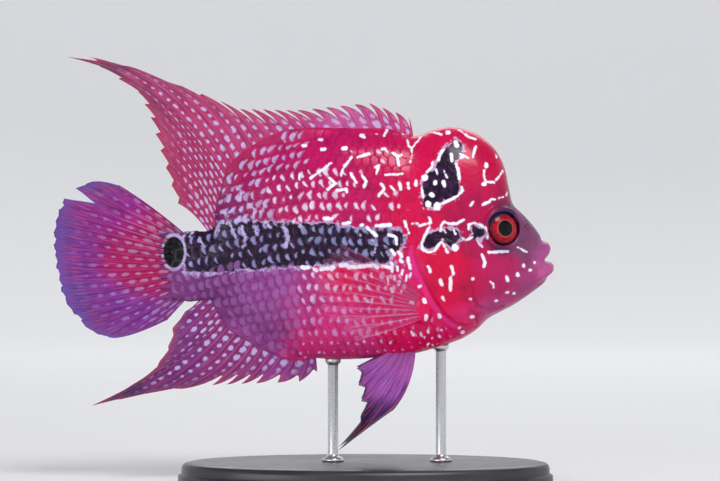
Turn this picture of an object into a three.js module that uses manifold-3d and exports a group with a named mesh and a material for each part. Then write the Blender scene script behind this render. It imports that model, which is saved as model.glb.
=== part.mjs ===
// Flowerhorn cichlid: a life-size still model of the whole fish on a plain display stand.
// Millimetres, +Z up. The fish faces +X, its middle plane is Y = 0 and the stand rests on Z = 0.
// The body is one loft that thin cuts part into its nodes. Fins are sheets with their rays raised.

import * as THREE from 'three';
import { mergeVertices } from 'three/addons/utils/BufferGeometryUtils.js';
import Module from 'manifold-3d';

const wasm = await Module();
wasm.setup();

// Driving sizes
const GAP = 0.3;
const CUT_REACH = 40;
const RINGS_PER_STATION = 2;
const RING_SIDES = 32;
const FIN_SINK = 2.6;

// The outline of the body: where each slanted section meets the back and the belly [x, z],
// its half width, and how far up the section it is widest.
const STATIONS = [
  { place: 'tail end', back: [-31.4, 59.1], belly: [-31.4, 44.2], half: 0.9, waist: 0.5 },
  { place: 'tail root', back: [-27.8, 60.3], belly: [-27.8, 43.3], half: 1.7, waist: 0.5 },
  { place: 'peduncle', back: [-21.6, 60.9], belly: [-21.6, 43.7], half: 3.1, waist: 0.5 },
  { place: 'rear slope', back: [-19.7, 66.5], belly: [-18.5, 42.3], half: 3.8, waist: 0.48 },
  { place: 'rear of anal fin', back: [-15.1, 73.0], belly: [-15.1, 39.9], half: 4.9, waist: 0.48 },
  { place: 'soft dorsal', back: [-6.7, 79.0], belly: [-7.4, 34.6], half: 6.9, waist: 0.48 },
  { place: 'vent', back: [0.5, 81.8], belly: [-0.2, 30.5], half: 8.6, waist: 0.48 },
  { place: 'belly', back: [8.9, 83.6], belly: [7.7, 29.5], half: 10.0, waist: 0.48 },
  { place: 'chest', back: [20.9, 83.9], belly: [19.7, 30.1], half: 10.9, waist: 0.48 },
  { place: 'nape', back: [27.6, 83.2], belly: [27.6, 31.1], half: 11.1, waist: 0.48 },
  { place: 'hump rise', back: [31.0, 84.5], belly: [31.0, 32.0], half: 11.1, waist: 0.47 },
  { place: 'hump top', back: [35.3, 85.3], belly: [34.8, 33.2], half: 11.0, waist: 0.46 },
  { place: 'hump front', back: [41.3, 83.8], belly: [38.6, 34.7], half: 10.8, waist: 0.44 },
  { place: 'forehead', back: [45.8, 80.2], belly: [41.8, 36.8], half: 10.4, waist: 0.42 },
  { place: 'brow', back: [48.2, 75.9], belly: [44.4, 39.3], half: 9.7, waist: 0.42 },
  { place: 'hump foot', back: [49.4, 70.6], belly: [47.3, 40.9], half: 9.0, waist: 0.44 },
  { place: 'eye', back: [50.4, 66.7], belly: [50.2, 42.4], half: 8.1, waist: 0.46 },
  { place: 'snout', back: [52.8, 64.3], belly: [53.0, 44.2], half: 6.9, waist: 0.46 },
  { place: 'muzzle', back: [55.2, 61.6], belly: [55.4, 45.9], half: 5.6, waist: 0.46 },
  { place: 'mouth', back: [56.9, 59.3], belly: [57.6, 47.6], half: 3.9, waist: 0.46 },
];

// Thin cuts between the nodes of the body, as seen from the side [x, z].
const HEAD_CUT = [[27.4, 90.5], [26.6, 77.3], [26.2, 65.3], [26.4, 58.1], [29.0, 49.7],
  [32.9, 42.5], [37.2, 38.5], [41.0, 36.3], [44.4, 32.2]];
const HUMP_CUT = [[26.6, 77.3], [29.3, 74.5], [35.3, 70.1], [42.5, 67.5], [48.5, 66.3], [55.0, 66.8]];
const JAW_CUT = [[64.0, 54.6], [57.6, 53.3], [56.2, 51.2], [54.7, 48.8], [52.1, 46.4],
  [48.5, 44.2], [45.8, 42.3], [44.4, 34.5]];
const TAIL_CUT = [[-19.4, 90.0], [-19.4, 30.0]];

// The gill cover, and the ridge of the cheek in front of it.
const GILL_OUTLINE = [[26.6, 56.7], [26.4, 54.3], [27.6, 50.7], [29.5, 47.1], [31.4, 43.5],
  [33.6, 40.4], [36.2, 38.3], [39.4, 37.5], [41.6, 37.7], [40.4, 40.6], [40.1, 43.0],
  [39.6, 47.3], [38.6, 52.9], [37.7, 57.2], [34.1, 58.6], [30.5, 58.4]];
const GILL_RAISE = 0.45;
const GILL_DEPTH = 1.0;
const CHEEK_RIDGE = [[39.2, 57.4], [39.7, 52.9], [40.7, 48.5], [41.4, 44.9], [43.0, 43.3], [46.6, 43.1]];
const CHEEK_RIDGE_RADIUS = 0.55;

// Eye, brow ring and nostrils.
const EYE_CENTRE = [47.6, 60.8];
const EYE_RADIUS = 3.9;
const EYE_BULGE = 1.7;
const EYE_SINK = 0.35;
const BROW_TUBE = 0.75;
const NOSTRIL = [53.4, 61.3];
const NOSTRIL_RADIUS = 0.55;

// Lips, as rolls that run round the mouth from the middle to the right-hand corner.
const UPPER_LIP = [[57.6, 0, 56.1], [57.3, 1.7, 55.6], [56.4, 3.1, 54.2], [55.2, 4.1, 52.2], [54.3, 4.7, 50.6]];
const UPPER_LIP_RADII = [1.7, 1.65, 1.4, 1.05, 0.5];
const LOWER_LIP = [[58.7, 0, 51.5], [58.4, 1.4, 51.2], [57.5, 2.7, 50.4], [56.4, 3.6, 49.4], [55.2, 4.2, 48.4]];
const LOWER_LIP_RADII = [1.45, 1.4, 1.2, 0.9, 0.45];
const LIP_SIDES = 8;
const LIP_STEPS = 12;

// Fins: a few key rays, each with the place of its root, a point that bends it, and its tip.
// Rays between the key ones are blended from them.
const DORSAL = {
  rays: 30,
  spines: 16,
  keys: [
    { ray: 0, root: 26.6, bend: [26.4, 85.5], tip: [25.4, 87.7] },
    { ray: 3, root: 20.4, bend: [19.4, 88.6], tip: [15.8, 91.0] },
    { ray: 8, root: 6.5, bend: [4.1, 87.2], tip: [-1.4, 89.3] },
    { ray: 13, root: -5.5, bend: [-8.9, 85.5], tip: [-15.1, 89.6] },
    { ray: 16, root: -12.2, bend: [-18.0, 88.9], tip: [-29.5, 95.3] },
    { ray: 17, root: -13.7, bend: [-24.7, 95.3], tip: [-42.0, 99.9] },
    { ray: 18, root: -14.9, bend: [-29.5, 99.4], tip: [-53.0, 102.3] },
    { ray: 19, root: -15.8, bend: [-32.9, 98.4], tip: [-57.1, 102.1] },
    { ray: 20, root: -16.8, bend: [-31.9, 95.6], tip: [-49.2, 99.9] },
    { ray: 22, root: -18.5, bend: [-28.3, 86.9], tip: [-39.8, 93.9] },
    { ray: 24, root: -19.7, bend: [-27.8, 80.2], tip: [-36.7, 87.7] },
    { ray: 26, root: -20.4, bend: [-27.1, 74.5], tip: [-34.3, 79.7] },
    { ray: 29, root: -21.6, bend: [-25.9, 65.1], tip: [-30.2, 67.0] },
  ],
};
const ANAL = {
  rays: 16,
  spines: 7,
  keys: [
    { ray: 0, root: 2.9, bend: [3.4, 27.9], tip: [3.4, 26.5] },
    { ray: 1, root: 1.7, bend: [0.7, 26.5], tip: [-1.0, 24.1] },
    { ray: 3, root: -3.1, bend: [-6.2, 27.4], tip: [-11.3, 23.8] },
    { ray: 6, root: -9.4, bend: [-13.9, 27.4], tip: [-21.8, 23.3] },
    { ray: 8, root: -12.7, bend: [-22.8, 24.1], tip: [-36.7, 21.4] },
    { ray: 10, root: -15.6, bend: [-32.9, 23.1], tip: [-51.1, 18.3] },
    { ray: 11, root: -17.0, bend: [-27.6, 28.9], tip: [-38.4, 25.0] },
    { ray: 12, root: -18.2, bend: [-26.6, 32.9], tip: [-34.3, 29.3] },
    { ray: 13, root: -19.4, bend: [-26.6, 37.0], tip: [-32.4, 32.9] },
    { ray: 14, root: -20.9, bend: [-26.6, 40.6], tip: [-31.4, 37.0] },
    { ray: 15, root: -23.0, bend: [-25.7, 42.2], tip: [-28.3, 41.0] },
  ],
};
const CAUDAL = {
  rays: 19,
  keys: [
    { ray: 0, root: [-28.6, 59.9], bend: [-37.2, 67.3], tip: [-45.8, 72.3] },
    { ray: 1, root: [-28.8, 59.1], bend: [-37.9, 66.5], tip: [-50.6, 72.8] },
    { ray: 2, root: [-29.0, 58.1], bend: [-40.3, 64.6], tip: [-55.4, 70.9] },
    { ray: 3, root: [-29.3, 57.2], bend: [-41.5, 62.5], tip: [-57.4, 68.0] },
    { ray: 4, root: [-29.5, 56.2], bend: [-42.7, 60.5], tip: [-59.0, 65.6] },
    { ray: 6, root: [-29.5, 54.3], bend: [-43.9, 56.9], tip: [-60.1, 60.1] },
    { ray: 8, root: [-29.5, 52.4], bend: [-45.1, 52.9], tip: [-59.9, 54.1] },
    { ray: 10, root: [-29.5, 50.5], bend: [-45.1, 48.1], tip: [-59.0, 48.1] },
    { ray: 12, root: [-29.5, 48.5], bend: [-43.9, 43.3], tip: [-56.9, 42.8] },
    { ray: 14, root: [-29.3, 46.6], bend: [-41.5, 39.9], tip: [-52.8, 37.5] },
    { ray: 16, root: [-28.8, 44.9], bend: [-37.2, 38.5], tip: [-44.6, 34.1] },
    { ray: 18, root: [-28.3, 43.6], bend: [-31.4, 40.4], tip: [-32.9, 38.5] },
  ],
};
const PELVIC = {
  rays: 6,
  keys: [
    { ray: 0, root: [27.0, 32.3], bend: [26.6, 23.3], tip: [21.6, 17.6] },
    { ray: 1, root: [26.0, 32.3], bend: [22.7, 19.3], tip: [7.9, 7.5] },
    { ray: 2, root: [25.0, 32.3], bend: [20.6, 21.7], tip: [14.0, 16.2] },
    { ray: 3, root: [24.0, 32.3], bend: [19.2, 24.1], tip: [13.9, 19.8] },
    { ray: 4, root: [23.0, 32.3], bend: [17.8, 27.0], tip: [13.1, 23.5] },
    { ray: 5, root: [22.1, 32.3], bend: [16.9, 29.7], tip: [12.7, 27.5] },
  ],
};
const PECTORAL = {
  rays: 11,
  keys: [
    { ray: 0, root: [28.6, 45.0], bend: [18.0, 53.5], tip: [8.5, 57.6] },
    { ray: 3, root: [28.3, 43.4], bend: [16.0, 48.6], tip: [2.6, 51.2] },
    { ray: 7, root: [28.1, 41.5], bend: [17.0, 42.0], tip: [3.6, 42.2] },
    { ray: 10, root: [28.3, 39.6], bend: [21.0, 36.6], tip: [12.6, 34.2] },
  ],
};

// Thickness of the fins: half the thickness of a ray and of the membrane, at the root.
const MEDIAN_FIN = { ray: 0.52, web: 0.27, rows: 6 };
const PAIRED_FIN = { ray: 0.42, web: 0.26, rows: 5 };
const TIP_THINNING = 0.45;

// Where the paired fins grow: distance from the middle plane at the root and at the tips.
const PELVIC_ROOT_Y = 2.4;
const PELVIC_TIP_Y = 5.6;
const PECTORAL_BASE = [28.4, 42.2];
const PECTORAL_BASE_RADII = [2.1, 1.7, 4.0];
const PECTORAL_LIFT = 0.9;
const PECTORAL_SPLAY = 4.2;

// Display stand.
const BASE_LENGTH = 90;
const BASE_WIDTH = 52;
const BASE_HEIGHT = 5;
const BASE_CHAMFER = 1;
const BASE_CENTRE_X = 15;
const ROD_RADIUS = 1.25;
const ROD_FRONT_X = 33.1;
const ROD_BACK_X = 7.2;
const ROD_TOP = 45;

// Small helpers

function lerp(a, b, share) {
  return a + (b - a) * share;
}

function signedPower(value, exponent) {
  return Math.sign(value) * Math.abs(value) ** exponent;
}

// Meshes to solids and back

function signedVolume(positions, index) {
  let six = 0;
  const a = new THREE.Vector3();
  const b = new THREE.Vector3();
  const c = new THREE.Vector3();
  for (let i = 0; i < index.length; i += 3) {
    a.fromArray(positions, 3 * index[i]);
    b.fromArray(positions, 3 * index[i + 1]);
    c.fromArray(positions, 3 * index[i + 2]);
    six += a.dot(b.cross(c));
  }
  return six;
}

function toSolid(geometry) {
  const bare = geometry.clone();
  bare.deleteAttribute('normal');
  bare.deleteAttribute('uv');
  const merged = mergeVertices(bare, 1e-4);
  const positions = merged.attributes.position.array;
  const triVerts = Uint32Array.from(merged.index.array);
  if (signedVolume(positions, triVerts) < 0) {
    for (let i = 0; i < triVerts.length; i += 3) {
      const kept = triVerts[i];
      triVerts[i] = triVerts[i + 1];
      triVerts[i + 1] = kept;
    }
  }
  const vertProperties = Float32Array.from(positions);
  return new wasm.Manifold(new wasm.Mesh({ numProp: 3, vertProperties, triVerts }));
}

function largestOf(solid) {
  const pieces = solid.decompose();
  pieces.sort((one, other) => other.volume() - one.volume());
  return pieces[0];
}

function toGeometry(solid) {
  const mesh = solid.getMesh();
  const geometry = new THREE.BufferGeometry();
  geometry.setAttribute('position', new THREE.BufferAttribute(Float32Array.from(mesh.vertProperties), 3));
  geometry.setIndex(Array.from(mesh.triVerts));
  geometry.computeVertexNormals();
  return geometry;
}

function gridGeometry(points, triangles) {
  const geometry = new THREE.BufferGeometry();
  geometry.setFromPoints(points);
  geometry.setIndex(triangles);
  return geometry;
}

// Prisms that run from side to side, from an outline seen from the side

function prism(outline) {
  const shape = new THREE.Shape(outline.map(([x, z]) => new THREE.Vector2(x, z)));
  const geometry = new THREE.ExtrudeGeometry(shape, { depth: 2 * CUT_REACH, bevelEnabled: false, steps: 1 });
  geometry.rotateX(Math.PI / 2);
  geometry.translate(0, CUT_REACH, 0);
  return toSolid(geometry);
}

function offsetPoint(line, i, distance, closed) {
  const count = line.length;
  const before = line[closed ? (i + count - 1) % count : Math.max(i - 1, 0)];
  const after = line[closed ? (i + 1) % count : Math.min(i + 1, count - 1)];
  const along = new THREE.Vector2(after[0] - before[0], after[1] - before[1]).normalize();
  return [line[i][0] - along.y * distance, line[i][1] + along.x * distance];
}

function strip(line) {
  const upper = line.map((point, i) => offsetPoint(line, i, GAP / 2, false));
  const lower = line.map((point, i) => offsetPoint(line, i, -GAP / 2, false));
  return prism([...upper, ...lower.reverse()]);
}

// The body: slanted rounded sections between the back line and the belly line

const backLine = new THREE.CatmullRomCurve3(STATIONS.map(({ back }) => new THREE.Vector3(back[0], 0, back[1])));
const bellyLine = new THREE.CatmullRomCurve3(STATIONS.map(({ belly }) => new THREE.Vector3(belly[0], 0, belly[1])));
const girthLine = new THREE.CatmullRomCurve3(STATIONS.map(({ half, waist }, i) => new THREE.Vector3(i, half, waist)));

function bodyPoint(share, angle, grow) {
  const back = backLine.getPoint(share);
  const belly = bellyLine.getPoint(share);
  const girth = girthLine.getPoint(share);
  const up = back.clone().sub(belly);
  const height = up.length();
  up.normalize();
  const below = height * girth.z;
  const reach = Math.sin(angle) > 0 ? height - below : below;
  const roundness = Math.sin(angle) > 0 ? 0.96 : 0.92;
  const rise = (reach + grow) * signedPower(Math.sin(angle), roundness);
  const side = (girth.y + grow) * signedPower(Math.cos(angle), roundness);
  const point = belly.clone().addScaledVector(up, below + rise);
  point.y = side;
  return point;
}

function bodySolid(grow) {
  const rings = Math.round((STATIONS.length - 1) * RINGS_PER_STATION);
  const points = [];
  const triangles = [];
  for (let ring = 0; ring <= rings; ring += 1) {
    for (let side = 0; side < RING_SIDES; side += 1) {
      points.push(bodyPoint(ring / rings, (2 * Math.PI * side) / RING_SIDES, grow));
    }
  }
  for (let ring = 0; ring < rings; ring += 1) {
    for (let side = 0; side < RING_SIDES; side += 1) {
      const next = (side + 1) % RING_SIDES;
      const a = ring * RING_SIDES + side;
      const b = ring * RING_SIDES + next;
      triangles.push(a, b, a + RING_SIDES, b, b + RING_SIDES, a + RING_SIDES);
    }
  }
  for (const ring of [0, rings]) {
    const start = ring * RING_SIDES;
    const centre = new THREE.Vector3();
    for (let side = 0; side < RING_SIDES; side += 1) {
      centre.addScaledVector(points[start + side], 1 / RING_SIDES);
    }
    centre.x += ring === 0 ? -0.4 - grow : 0.6 + grow;
    points.push(centre);
    for (let side = 0; side < RING_SIDES; side += 1) {
      const a = start + side;
      const b = start + ((side + 1) % RING_SIDES);
      triangles.push(...(ring === 0 ? [b, a, points.length - 1] : [a, b, points.length - 1]));
    }
  }
  return toSolid(gridGeometry(points, triangles));
}

const plainBody = bodySolid(0);
const clearBody = bodySolid(GAP);
const skinMesh = new THREE.Mesh(toGeometry(plainBody), new THREE.MeshBasicMaterial({ side: THREE.DoubleSide }));
const caster = new THREE.Raycaster();

// The point of the right-hand skin (side -1) or left-hand skin (side 1) over [x, z], and its normal.
function skinAt([x, z], side) {
  caster.set(new THREE.Vector3(x, side * CUT_REACH, z), new THREE.Vector3(0, -side, 0));
  const hit = caster.intersectObject(skinMesh)[0];
  return { point: hit.point, normal: hit.face.normal };
}

function heightAt(line, x) {
  let low = 0;
  let high = 1;
  for (let step = 0; step < 40; step += 1) {
    const middle = (low + high) / 2;
    if (line.getPoint(middle).x < x) low = middle;
    else high = middle;
  }
  return line.getPoint(low).z;
}

// Rolls: tapered tubes along a smooth path, with a round end at each side

function roll(path, radii, steps, sides) {
  const curve = new THREE.CatmullRomCurve3(path);
  const frames = curve.computeFrenetFrames(steps, false);
  const points = [];
  const triangles = [];
  for (let step = 0; step <= steps; step += 1) {
    const place = (step / steps) * (radii.length - 1);
    const low = Math.min(Math.floor(place), radii.length - 2);
    const radius = lerp(radii[low], radii[low + 1], place - low);
    const centre = curve.getPointAt(step / steps);
    for (let side = 0; side < sides; side += 1) {
      const angle = (2 * Math.PI * side) / sides;
      points.push(centre.clone()
        .addScaledVector(frames.normals[step], radius * Math.cos(angle))
        .addScaledVector(frames.binormals[step], radius * Math.sin(angle)));
    }
  }
  for (let step = 0; step < steps; step += 1) {
    for (let side = 0; side < sides; side += 1) {
      const a = step * sides + side;
      const b = step * sides + ((side + 1) % sides);
      triangles.push(a, b, a + sides, b, b + sides, a + sides);
    }
  }
  for (const end of [0, steps]) {
    points.push(curve.getPointAt(end / steps));
    for (let side = 0; side < sides; side += 1) {
      const a = end * sides + side;
      const b = end * sides + ((side + 1) % sides);
      triangles.push(...(end === 0 ? [b, a, points.length - 1] : [a, b, points.length - 1]));
    }
  }
  return toSolid(gridGeometry(points, triangles));
}

function lip(halfPath, halfRadii) {
  const right = halfPath.map(([x, y, z]) => new THREE.Vector3(x, -y, z)).reverse();
  const left = halfPath.slice(1).map(([x, y, z]) => new THREE.Vector3(x, y, z));
  const radii = [...halfRadii].reverse().concat(halfRadii.slice(1));
  return roll([...right, ...left], radii, LIP_STEPS, LIP_SIDES);
}

function cheekRidge(side) {
  const path = CHEEK_RIDGE.map((place) => skinAt(place, side).point);
  return roll(path, [0.2, CHEEK_RIDGE_RADIUS, CHEEK_RIDGE_RADIUS, 0.3], 12, 6);
}

// Eyes and nostrils, set square to the skin

function turnTo(normal) {
  return new THREE.Quaternion().setFromUnitVectors(new THREE.Vector3(0, 0, 1), normal);
}

function eyeSolid(side, grow) {
  const { point, normal } = skinAt(EYE_CENTRE, side);
  const geometry = new THREE.SphereGeometry(1, 20, 9);
  geometry.scale(EYE_RADIUS + grow, EYE_RADIUS + grow, EYE_BULGE + grow);
  geometry.applyQuaternion(turnTo(normal));
  const centre = point.clone().addScaledVector(normal, -EYE_SINK);
  geometry.translate(centre.x, centre.y, centre.z);
  return toSolid(geometry);
}

function browRing(side) {
  const { point, normal } = skinAt(EYE_CENTRE, side);
  const geometry = new THREE.TorusGeometry(EYE_RADIUS + BROW_TUBE / 2, BROW_TUBE, 6, 20);
  geometry.applyQuaternion(turnTo(normal));
  geometry.translate(point.x, point.y, point.z);
  return toSolid(geometry);
}

function nostrilPit(side) {
  const { point } = skinAt(NOSTRIL, side);
  const geometry = new THREE.SphereGeometry(NOSTRIL_RADIUS, 8, 5);
  geometry.translate(point.x, point.y, point.z);
  return toSolid(geometry);
}

// Fins: one closed sheet, thick along each ray and thin between rays, notched between the tips

function blendRays({ rays, keys }, rootZ) {
  const list = [];
  for (let ray = 0; ray < rays; ray += 1) {
    const after = keys.find((key) => key.ray >= ray);
    const before = [...keys].reverse().find((key) => key.ray <= ray);
    const share = after === before ? 0 : (ray - before.ray) / (after.ray - before.ray);
    const blend = (pick) => lerp(pick(before), pick(after), share);
    const rootX = blend(({ root }) => (rootZ ? root : root[0]));
    list.push(new THREE.QuadraticBezierCurve(
      new THREE.Vector2(rootX, rootZ ? rootZ(rootX) : blend(({ root }) => root[1])),
      new THREE.Vector2(blend(({ bend }) => bend[0]), blend(({ bend }) => bend[1])),
      new THREE.Vector2(blend(({ tip }) => tip[0]), blend(({ tip }) => tip[1])),
    ));
  }
  return list;
}

function finSheet(curves, size, notch, sideways) {
  const columns = [];
  curves.forEach((curve, ray) => {
    columns.push({ ray, end: 1, half: size.ray, at: (t) => curve.getPoint(t) });
    if (ray === curves.length - 1) return;
    const { depth, lean } = notch(ray);
    columns.push({
      ray: ray + lean,
      end: 1 - depth,
      half: size.web,
      at: (t) => curve.getPoint(t).lerp(curves[ray + 1].getPoint(t), lean),
    });
  });
  const near = [];
  const far = [];
  columns.forEach(({ ray, end, half, at }) => {
    for (let row = 0; row <= size.rows; row += 1) {
      const t = (row / size.rows) * end;
      const point = at(t);
      const middle = sideways(t, ray / (curves.length - 1), point);
      const thick = half * (1 - (1 - TIP_THINNING) * t * t);
      near.push(new THREE.Vector3(point.x, middle - thick, point.y));
      far.push(new THREE.Vector3(point.x, middle + thick, point.y));
    }
  });
  const points = [...near, ...far];
  const back = near.length;
  const rows = size.rows + 1;
  const triangles = [];
  const quad = (a, b, c, d) => triangles.push(a, b, c, a, c, d);
  for (let column = 0; column < columns.length - 1; column += 1) {
    for (let row = 0; row < size.rows; row += 1) {
      const a = column * rows + row;
      const b = a + rows;
      triangles.push(a, b, b + 1, a, b + 1, a + 1);
      triangles.push(back + a, back + b + 1, back + b, back + a, back + a + 1, back + b + 1);
    }
    const root = column * rows;
    const tip = root + size.rows;
    quad(root + rows, root, back + root, back + root + rows);
    quad(tip, tip + rows, back + tip + rows, back + tip);
  }
  for (let row = 0; row < size.rows; row += 1) {
    const last = (columns.length - 1) * rows + row;
    quad(row, row + 1, back + row + 1, back + row);
    quad(last + 1, last, back + last, back + last + 1);
  }
  return toSolid(gridGeometry(points, triangles));
}

function onMiddle() {
  return 0;
}

function dorsalFin() {
  const curves = blendRays(DORSAL, (x) => heightAt(backLine, x) - FIN_SINK);
  const notch = (ray) => {
    if (ray >= DORSAL.spines - 1) return { depth: 0.07, lean: 0.5 };
    return { depth: lerp(0.34, 0.2, ray / DORSAL.spines), lean: 0.66 };
  };
  return largestOf(finSheet(curves, MEDIAN_FIN, notch, onMiddle).subtract(clearBody));
}

function analFin() {
  const curves = blendRays(ANAL, (x) => heightAt(bellyLine, x) + FIN_SINK);
  const notch = (ray) => {
    if (ray >= ANAL.spines) return { depth: 0.07, lean: 0.5 };
    return { depth: 0.24, lean: 0.62 };
  };
  return largestOf(finSheet(curves, MEDIAN_FIN, notch, onMiddle).subtract(clearBody));
}

function caudalFin() {
  const notch = () => ({ depth: 0.04, lean: 0.5 });
  return largestOf(finSheet(blendRays(CAUDAL), MEDIAN_FIN, notch, onMiddle).subtract(clearBody));
}

function pelvicFin(side) {
  const notch = (ray) => ({ depth: ray === 0 ? 0.05 : 0.12, lean: 0.5 });
  const sideways = (t, across) => side * lerp(PELVIC_ROOT_Y + 0.6 * across, PELVIC_TIP_Y, t);
  return largestOf(finSheet(blendRays(PELVIC), PAIRED_FIN, notch, sideways).subtract(clearBody));
}

function pectoralFin(side) {
  const skin = Math.abs(skinAt(PECTORAL_BASE, side).point.y);
  const notch = () => ({ depth: 0.05, lean: 0.5 });
  const sideways = (t, across) => {
    const cup = 0.6 * Math.sin(Math.PI * across) * t;
    return side * (skin + PECTORAL_LIFT + PECTORAL_SPLAY * t - cup);
  };
  const base = new THREE.SphereGeometry(1, 12, 8);
  base.scale(...PECTORAL_BASE_RADII);
  base.translate(PECTORAL_BASE[0], side * skin, PECTORAL_BASE[1]);
  const sheet = finSheet(blendRays(PECTORAL), PAIRED_FIN, notch, sideways);
  return largestOf(sheet.add(toSolid(base)).subtract(clearBody));
}

// The body parted into its nodes

function gillCover(side) {
  const shell = bodySolid(GILL_RAISE).intersect(prism(GILL_OUTLINE)).subtract(bodySolid(-GILL_DEPTH));
  const halves = shell.decompose().filter((piece) => {
    const box = piece.boundingBox();
    return side * (box.min[1] + box.max[1]) > 0;
  });
  halves.sort((one, other) => other.volume() - one.volume());
  return halves[0];
}

function gillPockets() {
  const outside = GILL_OUTLINE.map((point, i) => offsetPoint(GILL_OUTLINE, i, -GAP, true));
  return prism(outside).subtract(bodySolid(-GILL_DEPTH - GAP));
}

function pieceAt(pieces, [x, z]) {
  const probe = new THREE.SphereGeometry(0.2, 6, 4);
  probe.translate(x, 0, z);
  const touch = toSolid(probe);
  return pieces.find((piece) => piece.intersect(touch).volume() > 0);
}

function partedBody() {
  let flesh = plainBody.add(lip(UPPER_LIP, UPPER_LIP_RADII)).add(lip(LOWER_LIP, LOWER_LIP_RADII));
  for (const side of [-1, 1]) {
    flesh = flesh.add(browRing(side)).add(cheekRidge(side));
    flesh = flesh.subtract(eyeSolid(side, GAP)).subtract(nostrilPit(side));
  }
  flesh = flesh.subtract(gillPockets());
  for (const line of [HEAD_CUT, HUMP_CUT, JAW_CUT, TAIL_CUT]) flesh = flesh.subtract(strip(line));
  const pieces = flesh.decompose();
  return {
    head: pieceAt(pieces, [42, 55]),
    nuchal_hump: pieceAt(pieces, [36, 78]),
    lower_jaw: pieceAt(pieces, [55, 47.2]),
    torso: pieceAt(pieces, [10, 55]),
    tail_base: pieceAt(pieces, [-25, 52]),
  };
}

// The stand

function standBase() {
  const radius = BASE_WIDTH / 2;
  const profile = [
    [0, 0], [radius, 0], [radius, BASE_HEIGHT - BASE_CHAMFER], [radius - BASE_CHAMFER, BASE_HEIGHT], [0, BASE_HEIGHT],
  ].map(([x, y]) => new THREE.Vector2(x, y));
  const geometry = new THREE.LatheGeometry(profile, 48);
  geometry.rotateX(Math.PI / 2);
  geometry.scale(BASE_LENGTH / BASE_WIDTH, 1, 1);
  geometry.translate(BASE_CENTRE_X, 0, 0);
  return toSolid(geometry);
}

function standRod(x) {
  const bottom = BASE_HEIGHT + GAP;
  const geometry = new THREE.CylinderGeometry(ROD_RADIUS, ROD_RADIUS, ROD_TOP - bottom, 16);
  geometry.rotateX(Math.PI / 2);
  geometry.translate(x, 0, (ROD_TOP + bottom) / 2);
  return largestOf(toSolid(geometry).subtract(clearBody));
}

// The finished model

const FLESH_RED = new THREE.Color(0xc81440);
const FLESH_PINK = new THREE.Color(0xd02a70);
const FIN_MAGENTA = new THREE.Color(0x8c288c);
const LIP_MAUVE = new THREE.Color(0xa05088);
const EYE_RED = new THREE.Color(0xd00a18);
const STAND_DARK = new THREE.Color(0x22242a);
const ROD_STEEL = new THREE.Color(0xb0b4ba);

const fish = new THREE.Group();

function addNode(name, solid, color, roughness, metalness) {
  const mesh = new THREE.Mesh(toGeometry(solid), new THREE.MeshStandardMaterial({ color, roughness, metalness }));
  mesh.name = name;
  fish.add(mesh);
}

const flesh = partedBody();
addNode('head', flesh.head, FLESH_RED, 0.35, 0);
addNode('nuchal_hump', flesh.nuchal_hump, FLESH_RED, 0.3, 0);
addNode('lower_jaw', flesh.lower_jaw, LIP_MAUVE, 0.35, 0);
addNode('torso', flesh.torso, FLESH_PINK, 0.35, 0);
addNode('tail_base', flesh.tail_base, FIN_MAGENTA, 0.35, 0);
addNode('dorsal_fin', dorsalFin(), FIN_MAGENTA, 0.4, 0);
addNode('anal_fin', analFin(), FIN_MAGENTA, 0.4, 0);
addNode('caudal_fin', caudalFin(), FIN_MAGENTA, 0.4, 0);
for (const [side, hand] of [[-1, 'right'], [1, 'left']]) {
  addNode(`gill_cover_${hand}`, gillCover(side), FLESH_RED, 0.35, 0);
  addNode(`eye_${hand}`, eyeSolid(side, 0), EYE_RED, 0.15, 0);
  addNode(`pectoral_fin_${hand}`, pectoralFin(side), FLESH_PINK, 0.4, 0);
  addNode(`pelvic_fin_${hand}`, pelvicFin(side), FIN_MAGENTA, 0.4, 0);
}
addNode('stand_base', standBase(), STAND_DARK, 0.5, 0);
addNode('stand_rod_front', standRod(ROD_FRONT_X), ROD_STEEL, 0.3, 0.9);
addNode('stand_rod_back', standRod(ROD_BACK_X), ROD_STEEL, 0.3, 0.9);

export default fish;
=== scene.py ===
import math

import bpy
import numpy as np
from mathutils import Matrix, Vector
from mathutils.bvhtree import BVHTree


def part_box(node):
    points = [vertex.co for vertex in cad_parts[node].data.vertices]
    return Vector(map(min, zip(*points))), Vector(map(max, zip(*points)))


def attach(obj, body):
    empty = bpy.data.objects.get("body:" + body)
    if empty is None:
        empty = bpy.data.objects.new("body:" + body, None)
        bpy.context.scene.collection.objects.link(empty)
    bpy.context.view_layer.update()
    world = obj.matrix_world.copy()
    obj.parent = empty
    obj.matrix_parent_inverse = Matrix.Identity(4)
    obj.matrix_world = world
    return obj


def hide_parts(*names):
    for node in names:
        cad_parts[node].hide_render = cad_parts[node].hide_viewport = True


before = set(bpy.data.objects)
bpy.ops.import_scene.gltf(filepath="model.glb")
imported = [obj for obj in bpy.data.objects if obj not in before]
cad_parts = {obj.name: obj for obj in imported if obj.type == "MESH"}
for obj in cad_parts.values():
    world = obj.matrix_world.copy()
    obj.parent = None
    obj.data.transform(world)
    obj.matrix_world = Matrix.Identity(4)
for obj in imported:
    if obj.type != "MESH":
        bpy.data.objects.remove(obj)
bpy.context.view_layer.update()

bl_info = {
    "name": "Flowerhorn cichlid",
    "version": (1, 0, 0),
    "blender": (4, 5, 0),
    "location": "View3D > Sidebar > Flowerhorn",
    "description": "Builds the skin, scales, fins, eyes and stand of a life-size flowerhorn cichlid",
    "category": "Add Mesh",
}

# Sizes are in millimetres, and MM turns them into metres. FAR stands for any distance too far to matter.
MM = 0.001
FAR = 9.0
SIDES = (-1, 1)

# The side view's own grid: steps of 0.24 mm, counted to the right from the tail side and down.
GRID_STEP = 0.24
GRID_X = 303.0
GRID_Z = 482.25

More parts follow.
